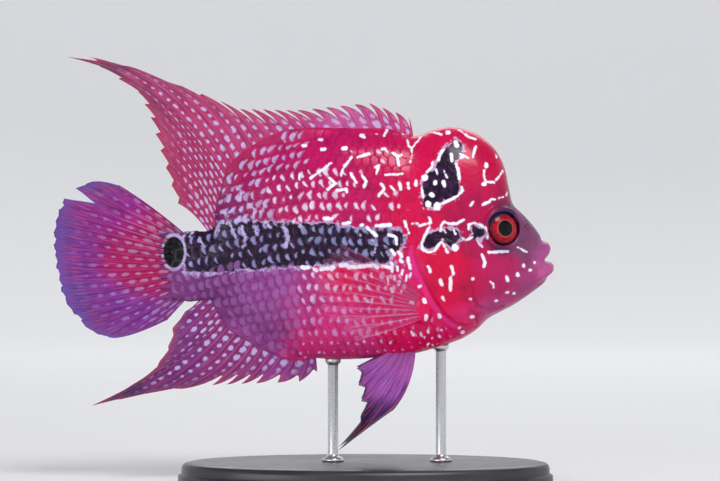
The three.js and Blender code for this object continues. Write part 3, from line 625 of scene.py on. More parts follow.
def body_loft():
    """The plain form of the whole body."""
    share = np.linspace(0, 1, SKIN_RINGS)
    back = BACK_LINE(share)
    belly = BELLY_LINE(share)
    girth = GIRTH_LINE(share)
    angles = np.arange(SKIN_SIDES) * 2 * np.pi / SKIN_SIDES
    up = back - belly
    height = np.linalg.norm(up, axis=1)
    up /= height[:, None]
    below = height * girth[:, 2]
    sine = np.sin(angles)
    roundness = np.where(sine > 0, ROUND_ABOVE, ROUND_BELOW)
    lift = np.sign(sine) * np.abs(sine) ** roundness
    aside = np.sign(np.cos(angles)) * np.abs(np.cos(angles)) ** roundness
    reach = np.where(sine[None, :] > 0, (height - below)[:, None], below[:, None])
    rise = below[:, None] + reach * lift[None, :]
    points = np.zeros((SKIN_RINGS, SKIN_SIDES, 3))
    points[:, :, 0] = belly[:, :1] + up[:, :1] * rise
    points[:, :, 2] = belly[:, 1:] + up[:, 1:] * rise
    points[:, :, 1] = girth[:, 1:2] * aside[None, :]
    flat = points.reshape(-1, 3)
    faces = grid_faces(SKIN_RINGS, SKIN_SIDES, wrap=True)
    tail = flat[:SKIN_SIDES].mean(0) - (0.4, 0, 0)
    snout = flat[-SKIN_SIDES:].mean(0) + (0.6, 0, 0)
    count = len(flat)
    for side in range(SKIN_SIDES):
        after = (side + 1) % SKIN_SIDES
        faces.append((after, side, count))
        last = (SKIN_RINGS - 1) * SKIN_SIDES
        faces.append((last + side, last + after, count + 1))
    return np.vstack([flat, tail, snout]), faces


class Skin:
    """Finds the surface of a fish's flank under a place seen from the side."""

    def __init__(self, points, faces):
        self.tree = BVHTree.FromPolygons([tuple(point) for point in points], [tuple(face) for face in faces])

    def at(self, x, z, side):
        hit, normal, _, _ = self.tree.ray_cast(Vector((x, side * 40, z)), Vector((0, -side, 0)))
        if hit is None:
            return None, None
        if normal.y * side < 0:
            normal = -normal
        return np.array(hit), np.array(normal)


def modified(made, kind, **settings):
    """Applies one modifier and leaves the result as the mesh."""
    modifier = made.modifiers.new(kind, kind)
    for key, value in settings.items():
        setattr(modifier, key, value)
    graph = bpy.context.evaluated_depsgraph_get()
    mesh = bpy.data.meshes.new_from_object(made.evaluated_get(graph))
    old = made.data
    made.modifiers.clear()
    made.data = mesh
    bpy.data.meshes.remove(old)


def mesh_arrays(mesh):
    """Vertex places in millimetres and normals."""
    places = np.empty(len(mesh.vertices) * 3, np.float32)
    normals = np.empty(len(mesh.vertices) * 3, np.float32)
    mesh.vertices.foreach_get("co", places)
    mesh.vertex_normals.foreach_get("vector", normals)
    return places.reshape(-1, 3).astype(float) / MM, normals.reshape(-1, 3).astype(float)


def fin_sheath(x, way):
    """How far the scaled flesh climbs the root of the dorsal (way 1) or anal fin (way -1)."""
    return np.interp(x, *(BACK_CLIMB if way > 0 else BELLY_CLIMB))


def lip_tube(half_path, half_radii):
    path = [(x, -y, z) for x, y, z in reversed(half_path)] + [tuple(place) for place in half_path[1:]]
    radii = list(reversed(half_radii)) + list(half_radii[1:])
    share = np.linspace(0, 1, 48)
    line = smooth_line(path)(share)
    return tube(line, np.interp(share, np.linspace(0, 1, len(radii)), radii), 20)


def eye_frame(skin, side):
    """The centre of an eye on the plain form, and the direction it looks in."""
    return skin.at(*EYE_CENTRE, side)


def brow_ring(centre, normal):
    across = np.cross(normal, (0, 0, 1))
    across /= np.linalg.norm(across)
    up = np.cross(across, normal)
    angles = np.linspace(0, 2 * np.pi, 61)
    ring = centre + BROW_REACH * (np.outer(np.cos(angles), across) + np.outer(np.sin(angles), up))
    fullness = 0.58 + 0.26 * np.clip(np.sin(angles), 0, 1)
    return tube(ring, fullness, 12)


def ridge_round(away, width, middle=0.0):
    """A soft ridge of height 1 along all places at one distance."""
    return np.exp(-((away - middle) / width) ** 2)


def shape_head(places, normals, options):
    """Moves the skin along its normals for gill covers, cheeks, sockets and nostrils."""
    flat = places[:, [0, 2]]
    on_side = smooth_step(0.15, 0.6, np.abs(normals[:, 1]))
    cover = distance_to_outline(flat, GILL_OUTLINE)
    cheek = distance_to_line(flat, CHEEK_EDGE)
    from_front = smooth_step(0.3, 4.5, cheek)
    push = (0.12 + options.gill_raise * from_front) * (1 - smooth_step(-0.7, 0.05, cover))
    membrane = smooth_step(0.0, 0.5, cover) * (1 - smooth_step(1.1, 1.7, cover)) * (flat[:, 0] < GILL_FRONT)
    push += 0.16 * membrane * from_front
    push -= 0.22 * ridge_round(cover, 0.32) * from_front
    push -= 0.3 * ridge_round(cheek, 0.4)
    push += 0.25 * ridge_round(cheek, 0.7, 0.9) * (flat[:, 0] > CHEEK_REAR)
    push += 0.55 * ridge_round(np.linalg.norm((flat - JOWL) / JOWL_REACH, axis=1), 1.0)
    push -= 0.28 * ridge_round(distance_to_line(flat, JAW_GROOVE), 0.35)
    eye = np.linalg.norm(flat - np.array(EYE_CENTRE), axis=1)
    push -= 1.3 * (1 - smooth_step(EYE_RADIUS - 0.6, EYE_RADIUS + 0.1, eye))
    push -= 0.14 * ridge_round(eye, 0.35, EYE_RADIUS + 1.9)
    nostril = np.linalg.norm(flat - np.array(NOSTRIL), axis=1)
    push += 0.16 * ridge_round(nostril, 0.25, 0.75) - 0.75 * ridge_round(nostril, 0.4)
    return places + normals * (push * on_side)[:, None]


def fin_roots():
    """Tubes of flesh along the roots of the dorsal, anal and caudal fins."""
    parts = []
    for line, way, (low, high) in ((BACK_LINE, 1, BACK_SHEATH), (BELLY_LINE, -1, BELLY_SHEATH)):
        x = np.linspace(low, high, 70)
        for step, fullness in enumerate(SHEATH_RADII):
            rise = fin_sheath(x, way) * step / 3
            crest = height_on(line, x) + way * (rise - 0.4)
            taper = np.interp(x, (low, low + 4, high - 5, high), (0.5, 1.0, 1.0, 0.3))
            sheath = np.stack([x - rise * 0.3, np.zeros_like(x), crest], axis=1)
            parts.append(tube(sheath, fullness * taper, 12))
    for rise in np.linspace(-TAIL_FAN_HALF, TAIL_FAN_HALF, 7):
        path = [(x, 0, MID_ROW_TAIL_Z + rise * (1 + 0.1 * i)) for i, x in enumerate(TAIL_FAN_X)]
        parts.append(tube(smooth_line(path)(np.linspace(0, 1, 8)), np.linspace(1.5, 0.45, 8), 12))
    return parts


def build_skin(options):
    """One skin over head, body, lips, brows and fin roots, with the head's details pushed into it."""
    plain, faces = body_loft()
    skin = Skin(plain, faces)
    parts = [(plain, faces), lip_tube(UPPER_LIP, UPPER_LIP_RADII), lip_tube(LOWER_LIP, LOWER_LIP_RADII)]
    for side in SIDES:
        centre, normal = eye_frame(skin, side)
        parts.append(brow_ring(centre + normal * 0.1, normal))
        base, _ = skin.at(*PECTORAL_BASE, side)
        parts.append(ellipsoid(base, PECTORAL_BASE_RADII))
    parts += [ellipsoid(*filling) for filling in MOUTH_FILLING]
    made = new_object("skin", *joined(parts + fin_roots()))
    modified(made, "REMESH", mode="VOXEL", voxel_size=options.skin_voxel, use_smooth_shade=True)
    modified(made, "SMOOTH", factor=0.5, iterations=5)
    places, normals = mesh_arrays(made.data)
    shaped = shape_head(places, normals, options)
    made.data.vertices.foreach_set("co", (shaped * MM).astype(np.float32).ravel())
    made.data.update()
    paint_flesh(made.data, shaped, sideways=np.abs(normals[:, 1]))
    return made


def paint_flesh(mesh, places, centres=None, sideways=None):
    """Colour and mark distances on a piece of the body, taken at its own places or at centres."""
    flat = places[:, [0, 2]]
    fade = 0 if sideways is None else 2.4 * (1 - smooth_step(0.12, 0.42, sideways))
    base = zone_colours(flat if centres is None else centres, FLESH_ZONES)
    add_colours(mesh, "base_tint", base)
    add_values(mesh, "white_away", mark_distance(flat, WHITE_MARKS) + fade)
    add_values(mesh, "froth_away", mark_distance(flat, FROTH_MARKS) + fade)
    # Distance to the lid over the eye and to the painted shade under it.
    add_values(mesh, "lid_and_eye_shade_away", mark_distance(flat, LID_AND_EYE_SHADE_MARKS))
    add_values(mesh, "dark_away", dark_distance(flat))
    add_values(mesh, "spot_away", tail_spot_distance(flat))
    gill = distance_to_outline(flat, GILL_OUTLINE)
    behind = np.where((flat[:, 0] < SLIT_FRONT) & (flat[:, 1] < SLIT_TOP), gill, FAR)
    add_values(mesh, "gill_away", behind)


def row_heights(skin, x, side):
    """Heights of the rows of scales over x, spaced evenly over the curve of the flank."""
    low = height_on(BELLY_LINE, x) - (fin_sheath(x, -1) if x < ANAL_FRONT else 0) + SCALE_INSET
    high = height_on(BACK_LINE, x) + fin_sheath(x, 1) * (x < DORSAL_FRONT) - SCALE_INSET
    heights = np.linspace(low, high, 140)
    hits = (skin.at(x, z, side)[0] for z in heights)
    aside = np.array([0 if hit is None else abs(hit[1]) for hit in hits])
    arc = np.concatenate([[0], np.cumsum(np.hypot(np.diff(heights), np.diff(aside)))])
    middle = np.interp(x, MID_ROW_X, (MID_ROW_TAIL_Z, MID_ROW_Z))
    return heights, arc - np.interp(middle, heights, arc)


def scale_centres(skin, side):
    """Places of the scales on one flank: x, z and row."""
    found = []
    for column in SCALE_COLUMNS:
        x = column * SCALE_PITCH / 2 + SCALE_SHIFT
        heights, arc = row_heights(skin, x, side)
        for row in SCALE_ROWS:
            if (row + column) % 2:
                continue
            wanted = row * SCALE_ROW
            if arc[0] + BELLY_MARGIN < wanted < arc[-1] - BACK_MARGIN:
                z = np.interp(wanted, arc, heights)
                found.append((x, z, row))
    return found


def bare_of_scales(x, z):
    """True on the head, the gill cover and the root of the paired fins."""
    place = np.array([x, z])
    on_head = distance_to_outline(place[None, :], BARE_HEAD)[0] < 0
    return on_head or np.linalg.norm((place - PECTORAL_BASE) / BARE_PECTORAL) < 1


def pearl_look(x, z, rng):
    """Size (length, height), lean, strength and colour of the pearl on a scale, by its place on the flank."""
    column = x / GRID_STEP + GRID_X
    line = GRID_Z - z / GRID_STEP
    strength = rng.uniform(0.6, 0.95)
    missing = False
    if NAPE_TOP < line < NAPE_FOOT and NAPE_REAR < column < NAPE_FRONT:
        region = "nape"
        strength = rng.uniform(0.75, 1.0)
    elif line < NAPE_FOOT and column < REAR_BACK:
        region = "rear back"
    elif line < NAPE_FOOT:
        region = "stray" if rng.random() < 0.12 else "bare"
    elif line < UPPER_FOOT:
        region = "rear upper" if column < REAR_UPPER else "upper"
        missing = column > SPARSE_UPPER and rng.random() < 0.45
    elif line < BAND_FOOT:
        region = "rear band" if column < REAR_BAND else "band"
        missing = column < REAR_BAND and rng.random() < 0.3
    elif line < FRINGE_FOOT and column > REAR_BAND:
        region = "bare"
    elif column < REAR_FLANK:
        region = "rear flank"
        strength *= 0.62
    elif line < FLANK_FOOT:
        region = "flank"
    elif line < LOWER_FOOT:
        region = "lower flank"
    else:
        region = "belly"
    length, tall, slant, rgb = PEARLS[region]
    if missing:
        length = 0.0
    if column > NEAR_HEAD:
        length, tall = length * 0.7, tall * 0.75
        if rng.random() < 0.3:
            length = 0.0
    grown = rng.uniform(0.7, 1.25)
    return (length * grown * rng.uniform(0.8, 1.2), tall * grown), rng.normal(slant, 0.25), strength, rgb


def bake_places(mesh, places):
    """The flat map in which each scale keeps a place of its own."""
    layer = mesh.uv_layers.new(name="OFBake")
    loops = np.empty(len(mesh.loops), np.int32)
    mesh.loops.foreach_get("vertex_index", loops)
    layer.data.foreach_set("uv", places[loops].astype(np.float32).ravel())


def build_scales(side, skin, options):
    """Overlapping scales on one flank, each a thin curved plate with a round rear edge."""
    rng = np.random.default_rng(11 + side)
    along = np.linspace(0, 1, 11)
    across = np.linspace(-1, 1, 13)
    points, faces, pearls, strengths, edges, tints, centres, unwrap = [], [], [], [], [], [], [], []
    for x, z, row in scale_centres(skin, side):
        if bare_of_scales(x, z):
            continue
        size, lean, strength, pearl_rgb = pearl_look(x, z, rng)
        length = SCALE_PITCH * SCALE_OVERLAP * (0.97 + SCALE_SPREAD * rng.random())
        tall = SCALE_ROW * SCALE_TALL * (0.97 + SCALE_SPREAD * rng.random())
        fit = min(1.0, 0.45 + 0.02 * (x - SMALLEST_X)) if x < SMALLER_X else 1.0
        tall *= max(fit, 0.55)
        length *= max(fit, 0.7)
        tilt = rng.normal(0, 0.05)
        _, normal = skin.at(x, z, side)
        if normal is None:
            continue
        squeeze = max(abs(normal[1]), 0.3)
        while tall > 1 and any(skin.at(x, z + way * tall / 2 * squeeze, side)[0] is None for way in (-1, 1)):
            tall *= 0.8
        jitter = rng.normal(0, 0.2, 2)
        start = len(points)
        for a in along:
            rounding = math.sqrt(max(0.0, 1 - max(0.0, (a - SCALE_ROOT) / (1 - SCALE_ROOT)) ** 2.4))
            for b in across:
                local_x = (SCALE_ROOT - a) * length
                local_z = b * tall / 2 * max(rounding, 0.02) * squeeze
                px = x + local_x - tilt * local_z
                pz = z + local_z + tilt * local_x
                hit, face_normal = skin.at(px, pz, side)
                if hit is None:
                    hit, face_normal = skin.at(x, z, side)
                rim = abs(b) ** 2
                lift = options.scale_lift * (a - 0.32) * (1 - 0.35 * rim) + 0.05
                if a == along[-1] or abs(b) == 1:
                    lift -= options.scale_lift * 0.75
                points.append(hit + face_normal * lift)
                upright = local_z / squeeze
                hook = 0.35 * upright**2
                pearl = math.hypot((local_x + 0.27 * length - lean * upright + jitter[0] - hook)
                                   / max(size[0], 1e-3), (upright + jitter[1]) / max(size[1], 1e-3))
                pearls.append(pearl - 1)
                strengths.append(strength)
                edges.append(max(rim, ((a - 0.3) / 0.7) ** 3 if a > 0.3 else 0))
                tints.append(pearl_rgb)
                centres.append((x, z))
                unwrap.append((x + local_x * 0.05, row + b * 0.05))
        faces.extend(grid_faces(len(along), len(across), start))
    made = new_object(f"scales_{flank(side)}", points, faces)
    mesh = made.data
    places = np.asarray(points)
    paint_flesh(mesh, places, np.asarray(centres))
    add_values(mesh, "pearl_away", pearls)
    add_values(mesh, "pearl_strength", strengths)
    add_values(mesh, "rim", edges)
    add_colours(mesh, "pearl_tint", linear_colour(tints))
    bake_places(mesh, (np.asarray(unwrap) - UNWRAP_FROM) / UNWRAP_SPAN * UNWRAP_SHARE + UNWRAP_START)
    return made


# Fins


def ray_lines(keys, root_height=None):
    """The three points that bend each ray, blended between the key rays."""
    numbers = [key[0] for key in keys]
    rays = np.arange(numbers[-1] + 1)

    def blended(pick):
        return np.interp(rays, numbers, [pick(key) for key in keys])

    root_x = blended(lambda key: key[1][0])
    root_z = root_height(root_x) if root_height else blended(lambda key: key[1][1])
    root = np.stack([root_x, root_z], axis=1)
    bend = np.stack([blended(lambda key: key[2][0]), blended(lambda key: key[2][1])], axis=1)
    tip = np.stack([blended(lambda key: key[3][0]), blended(lambda key: key[3][1])], axis=1)
    return root, bend, tip


def eased(values, width):
    """A row of places with its corners smoothed over some steps."""
    kernel = np.hanning(2 * width + 1)
    kernel /= kernel.sum()
    padded = np.pad(values, ((width, width), (0, 0)), "reflect", reflect_type="odd")
    return np.stack([np.convolve(padded[:, k], kernel, "valid") for k in range(values.shape[1])], axis=1)


def notched(low, share, spines, depth):
    """How far out each step of an edge reaches, with a notch between each two rays."""
    ends = np.ones(len(low))
    for i, (ray, part) in enumerate(zip(low, share)):
        notch, lean = depth(ray)
        if part <= lean:
            dip = (part / lean) ** 0.8
        else:
            dip = ((1 - part) / (1 - lean)) ** (2.7 if ray < spines else 1.0)
        ends[i] = 1 - notch * dip
    return ends


def sheet_faces(columns, rows):
    """Faces of a closed sheet: two grids of points, joined all round their border."""
    one_face = grid_faces(columns, rows)
    total = columns * rows
    faces = [tuple(reversed(face)) for face in one_face]
    faces += [tuple(index + total for index in face) for face in one_face]
    border = [column * rows for column in range(columns)]
    border += [(columns - 1) * rows + row for row in range(1, rows)]
    border += [column * rows + rows - 1 for column in range(columns - 2, -1, -1)]
    border += list(range(rows - 2, 0, -1))
    for here, after in zip(border, border[1:] + border[:1]):
        faces.append((here, after, after + total, here + total))
    return faces


def fin_sheet(name, lines, spines, options, sideways, depth, rows=44, steps=10, wave=0.5, seed=3, ease=0):
    """A fin as one thin closed sheet whose rays stand out of both faces and branch towards the edge."""
    root, bend, tip = lines
    rng = np.random.default_rng(seed)
    count = len(root)
    across = np.linspace(0, count - 1, (count - 1) * steps + 1)
    low = np.minimum(across.astype(int), count - 2)
    share = across - low
    ends = notched(low, share, spines, depth)
    uneven = rng.normal(0, 1, count * 3)
    uneven = np.repeat(uneven, math.ceil(len(across) / len(uneven)) + 1)[:len(across)]
    soft = (across >= spines).astype(float)
    ends *= 1 - 0.012 * np.abs(uneven) * soft
    if ease:
        ends *= 1 - 0.1 * np.exp(-(np.minimum(across, count - 1 - across) / 0.35) ** 2)
    t = np.linspace(0, 1, rows)[None, :] * ends[:, None]

    def blend(values):
        between = values[low] * (1 - share)[:, None] + values[low + 1] * share[:, None]
        return eased(between, ease) if ease else between

    a, b, c = (blend(values)[:, None, :] for values in (root, bend, tip))
    tt = t[:, :, None]
    flat = (1 - tt) ** 2 * a + 2 * tt * (1 - tt) * b + tt**2 * c
    from_ray = np.minimum(share, 1 - share)[:, None]
    branch = 0.2 * smooth_step(0.42, 0.95, t) * soft[:, None]
    second = 0.1 * smooth_step(0.72, 1.0, t) * soft[:, None]
    near = np.abs(np.abs(from_ray - branch) - second)
    ridge = np.exp(-(near / (0.085 - 0.035 * t)) ** 2)
    thin = 1 - 0.62 * t**1.5
    thick = (options.web_half + (options.ray_half - options.web_half) * ridge) * thin
    middle = sideways(t, across[:, None] / (count - 1))
    middle = middle + wave * t**1.4 * np.sin(across[:, None] * 0.8 + t * 2.2)
    near_face = np.stack([flat[:, :, 0], middle - thick, flat[:, :, 1]], axis=2).reshape(-1, 3)
    far_face = np.stack([flat[:, :, 0], middle + thick, flat[:, :, 1]], axis=2).reshape(-1, 3)
    made = new_object(name, np.vstack([near_face, far_face]), sheet_faces(len(across), rows))
    steps_out = np.linalg.norm(np.diff(flat, axis=1), axis=2)
    out = np.concatenate([np.zeros((len(across), 1)), np.cumsum(steps_out, axis=1)], axis=1)
    mesh = made.data
    doubled = np.vstack([flat.reshape(-1, 2)] * 2)
    add_colours(mesh, "base_tint", zone_colours(doubled, FIN_ZONES))
    add_values(mesh, "ray_number", np.tile(np.repeat(across, rows), 2))
    add_values(mesh, "ray_away", np.tile(out.ravel(), 2))
    add_values(mesh, "ray_ridge", np.tile(ridge.ravel(), 2))
    add_values(mesh, "edge_share", np.tile((t / ends[:, None]).ravel(), 2))
    add_values(mesh, "spot_away", tail_spot_distance(doubled))
    return made


def on_middle(t, _):
    """For a fin that lies on the fish's middle plane."""
    return np.zeros_like(t)


def build_fins(options):
    skin = Skin(*body_loft())
    dorsal = ray_lines(DORSAL_KEYS, lambda x: height_on(BACK_LINE, x) - FIN_SINK)
    anal = ray_lines(ANAL_KEYS, lambda x: height_on(BELLY_LINE, x) + FIN_SINK)

    def dorsal_depth(ray):
        return (0.5 - 0.16 * ray / 16, 0.2) if ray < DORSAL_SPINES else (0.1, 0.5)

    def anal_depth(ray):
        return (0.3, 0.26) if ray < ANAL_SPINES else (0.07, 0.5)

    def caudal_depth(ray):
        return (0.2, 0.5) if ray == CAUDAL_SPLIT else (0.012, 0.5)

    caudal = ray_lines(CAUDAL_KEYS)
    made = {
        "dorsal_fin": fin_sheet("dorsal", dorsal, DORSAL_SPINES, options, on_middle, dorsal_depth),
        "anal_fin": fin_sheet("anal", anal, ANAL_SPINES, options, on_middle, anal_depth, seed=5),
        "caudal_fin": fin_sheet("caudal", caudal, 0, options, on_middle, caudal_depth, wave=0.7, seed=7,
                                ease=16),
    }
    base_y = abs(skin.at(*PECTORAL_BASE, 1)[0][1])
    for side in SIDES:
        def pelvic_side(t, across, side=side):
            return side * ((PELVIC_ROOT_Y + 0.6 * across) * (1 - t) + PELVIC_TIP_Y * t)

        def pectoral_side(t, across, side=side):
            cup = 0.6 * np.sin(np.pi * across) * t
            return side * (base_y + PECTORAL_LIFT + PECTORAL_SPLAY * t - cup)

        made[f"pelvic_fin_{flank(side)}"] = fin_sheet(
            f"pelvic_{flank(side)}", ray_lines(PELVIC_KEYS), 0, options, pelvic_side,
            lambda ray: (0.05 if ray == 0 else 0.14, 0.5), steps=14, wave=0.3, seed=9)
        made[f"pectoral_fin_{flank(side)}"] = fin_sheet(
            f"pectoral_{flank(side)}", ray_lines(PECTORAL_KEYS), 0, options, pectoral_side,
            lambda ray: (0.06, 0.5), wave=0.25, seed=13)
    return made


# Eyes


def build_eye(side, skin):
    """One eyeball as a lens-shaped cap, with its distance from the middle kept for the iris."""
    centre, normal = eye_frame(skin, side)
    across = np.cross(normal, (0, 0, 1))
    across /= np.linalg.norm(across)
    up = np.cross(across, normal)
    polar = np.linspace(0.0, np.pi, EYE_RINGS)
    angles = np.arange(EYE_SIDES) * 2 * np.pi / EYE_SIDES
    points = []
    away = []
    for p in polar:
        for a in angles:
            reach = EYE_RADIUS * math.sin(p)
            rise = EYE_BULGE * math.cos(p)
            if rise > 0:
                rise += CORNEA_RISE * math.exp(-(reach / CORNEA_REACH) ** 2)
            flat = across * math.cos(a) + up * math.sin(a)
            points.append(centre + normal * (rise - EYE_SINK) + flat * reach)
            away.append(reach if rise > 0 else EYE_RADIUS + 1)
    made = new_object(f"eye_{flank(side)}_ball", points, grid_faces(EYE_RINGS, EYE_SIDES, wrap=True))
    add_values(made.data, "iris_away", away)
    from_pupil = np.array(points) - (centre - across * PUPIL_SHIFT * side)
    flat_way = from_pupil - np.outer(from_pupil @ normal, normal)
    add_values(made.data, "pupil_away", np.linalg.norm(flat_way, axis=1))
    add_values(made.data, "lid_and_eye_shade_away", mark_distance(np.array(points)[:, [0, 2]], LID_AND_EYE_SHADE_MARKS[:1]))
    return made


# Stand


def oval_ring(centre, radii, z, sides):
    angles = np.arange(sides) * 2 * np.pi / sides
    return np.stack([centre[0] + radii[0] * np.cos(angles), centre[1] + radii[1] * np.sin(angles),
                     np.full(sides, z)], axis=1)


def build_stand_base():
    """The oval base, turned with a moulded edge."""
    low, high = (np.array(corner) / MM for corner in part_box("stand_base"))
    centre = (low + high) / 2
    half = (high - low) / 2
    top = high[2]
    profile = [*BASE_EDGE, (0.87, top), (0.6, top), (0.3, top)]
    rings = []
    for share, z in profile:
        reach = half - (1 - share) * half[1] if share > 0.8 else half * share
        rings.append(oval_ring(centre, reach, z, BASE_SIDES))
    return new_object("base_oval", np.vstack(rings), turned(len(rings), BASE_SIDES))


def build_rod(name, node):
    """A round rod with a collar on the base and a small cup under the belly."""
    low, high = (np.array(corner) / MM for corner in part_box(node))
    centre = (low + high) / 2
    radius = (high[0] - low[0]) / 2
    bottom = low[2] - ROD_SINK
    top = high[2] + ROD_REACH
    profile = [(0.0, bottom)]
    profile += [(radius * share, bottom + rise) for share, rise in ROD_COLLAR]
    profile += [(radius * share, top - drop) for share, drop in ROD_CUP]
    profile += [(0.0, top)]
    rings = [oval_ring(centre, (max(reach, 0.01),) * 2, z, ROD_SIDES) for reach, z in profile]
    return new_object(name, np.vstack(rings), turned(len(rings), ROD_SIDES))


# Shader helpers


def put(tree, kind, inputs=None, **settings):
    """Adds a node, sets it and feeds its sockets with values or links."""
    node = tree.nodes.new(kind)
    for key, value in settings.items():
        setattr(node, key, value)
    for key, value in (inputs or {}).items():
        if isinstance(value, bpy.types.NodeSocket):
            tree.links.new(value, node.inputs[key])
        else:
            node.inputs[key].default_value = value
    return node


def calc(tree, operation, *values):
    return put(tree, "ShaderNodeMath", dict(enumerate(values)), operation=operation).outputs[0]


def ramped(tree, value, low, high, start=0.0, end=1.0):
    node = put(tree, "ShaderNodeMapRange", {0: value, 1: low, 2: high, 3: start, 4: end},
               interpolation_type="SMOOTHSTEP")
    return node.outputs[0]


def mixed(tree, amount, one, other, blend="MIX"):
    node = put(tree, "ShaderNodeMix", {0: amount, 6: one, 7: other}, data_type="RGBA", blend_type=blend)
    return node.outputs[2]


def attribute(tree, name, colour=False):
    node = put(tree, "ShaderNodeAttribute", attribute_name=name)
    return node.outputs["Color" if colour else "Fac"]


def noise(tree, scale, detail=3.0, roughness=0.55, vector=None):
    if vector is None:
        vector = put(tree, "ShaderNodeTexCoord").outputs["Object"]
    inputs = {"Scale": scale, "Detail": detail, "Roughness": roughness, "Vector": vector}
    return put(tree, "ShaderNodeTexNoise", inputs).outputs["Fac"]


def new_group(name, inputs, *outputs):
    """An empty shader group with named number sockets."""
    tree = bpy.data.node_groups.new(name, "ShaderNodeTree")
    for socket, value in inputs.items():
        made = tree.interface.new_socket(socket, in_out="INPUT", socket_type="NodeSocketFloat")
        made.default_value = value
    for socket in outputs:
        tree.interface.new_socket(socket, in_out="OUTPUT", socket_type="NodeSocketFloat")
    return tree, put(tree, "NodeGroupInput"), put(tree, "NodeGroupOutput")


def ragged_mask_group():
    """A mask that is 1 inside a mark, with an uneven edge."""
    tree, given, result = new_group(
        "Ragged mask", {"Away": 0.0, "Wander": 0.3, "Softness": 0.1, "Grain": 900.0}, "Mask")
    wobble = calc(tree, "SUBTRACT", noise(tree, given.outputs["Grain"], 2.0), 0.5)
    moved = calc(tree, "MULTIPLY_ADD", wobble, given.outputs["Wander"], given.outputs["Away"])
    soft = calc(tree, "MULTIPLY", given.outputs["Softness"], -1.0)
    node = put(tree, "ShaderNodeMapRange", {0: moved, 1: given.outputs["Softness"], 2: soft, 3: 0.0, 4: 1.0},
               interpolation_type="SMOOTHSTEP")
    tree.links.new(node.outputs[0], result.inputs["Mask"])
    return tree


def wet_grain_group():
    """Fine pits and slow swells of living skin: a height, and a roughness that varies."""
    tree, given, result = new_group(
        "Wet grain", {"Pit size": 2600.0, "Smoothest": 0.2, "Roughest": 0.45}, "Height", "Roughness")
    pits = noise(tree, given.outputs["Pit size"], 4.0)
    swell = noise(tree, 420.0, 2.0)
    height = calc(tree, "MULTIPLY_ADD", pits, 0.35, swell)
    tree.links.new(height, result.inputs["Height"])
    rough = put(tree, "ShaderNodeMapRange", {0: swell, 1: 0.3, 2: 0.7, 3: given.outputs["Smoothest"],
                                             4: given.outputs["Roughest"]})
    tree.links.new(rough.outputs[0], result.inputs["Roughness"])
    return tree


def fin_spots_group():
    """Rows of tall spots between the rays of a fin."""
    tree, given, result = new_group(
        "Fin spots", {"Ray": 0.0, "Away": 0.0, "Spacing": 2.3, "Width": 0.3, "Height": 0.32}, "Mask")
    ray = given.outputs["Ray"]
    order = calc(tree, "FLOOR", ray)
    across = calc(tree, "SUBTRACT", calc(tree, "FRACT", ray), 0.5)
    shift = calc(tree, "FRACT", calc(tree, "MULTIPLY", order, 0.47))
    cell = calc(tree, "ADD", calc(tree, "DIVIDE", given.outputs["Away"], given.outputs["Spacing"]), shift)
    along = calc(tree, "SUBTRACT", calc(tree, "FRACT", cell), 0.5)
    cell_name = put(tree, "ShaderNodeCombineXYZ", {"X": order, "Y": calc(tree, "FLOOR", cell)})
    chance = put(tree, "ShaderNodeTexWhiteNoise", {"Vector": cell_name.outputs[0]}, noise_dimensions="2D")
    size = calc(tree, "MULTIPLY_ADD", chance.outputs["Value"], 0.6, 0.6)
    sideways = calc(tree, "POWER", calc(tree, "DIVIDE", across, given.outputs["Width"]), 2.0)
    length = calc(tree, "POWER", calc(tree, "DIVIDE", along, given.outputs["Height"]), 2.0)
    wobble = calc(tree, "MULTIPLY_ADD", noise(tree, 900.0, 3.0), 1.6, -0.1)
    spread = calc(tree, "DIVIDE", calc(tree, "SQRT", calc(tree, "ADD", sideways, length)), size)
    ring = calc(tree, "ADD", spread, wobble)
    tree.links.new(ramped(tree, ring, 1.65, 1.15), result.inputs["Mask"])
    return tree


def use_group(tree, name, build, inputs):
    """Adds a node for a shader group, which is built at its first use."""
    return put(tree, "ShaderNodeGroup", inputs, node_tree=bpy.data.node_groups.get(name) or build())


def new_material(name, **plain):
    """A material with a Principled shader and its plain values set."""
    material = bpy.data.materials.new(name)
    material.use_nodes = True
    tree = material.node_tree
    shader = tree.nodes["Principled BSDF"]
    for key, value in plain.items():
        shader.inputs[key.replace("_", " ")].default_value = value
    return material, tree, shader


def ragged(tree, away, wander, softness, grain):
    group = use_group(tree, "Ragged mask", ragged_mask_group,
                      {"Away": away, "Wander": wander, "Softness": softness, "Grain": grain})
    return group.outputs["Mask"]


def bumped(tree, height, strength, distance, shader, second=None):
    inputs = {"Strength": strength, "Distance": distance, "Height": height}
    if second is not None:
        inputs["Normal"] = second
    node = put(tree, "ShaderNodeBump", inputs)
    if shader is not None:
        tree.links.new(node.outputs[0], shader.inputs["Normal"])
    return node.outputs[0]


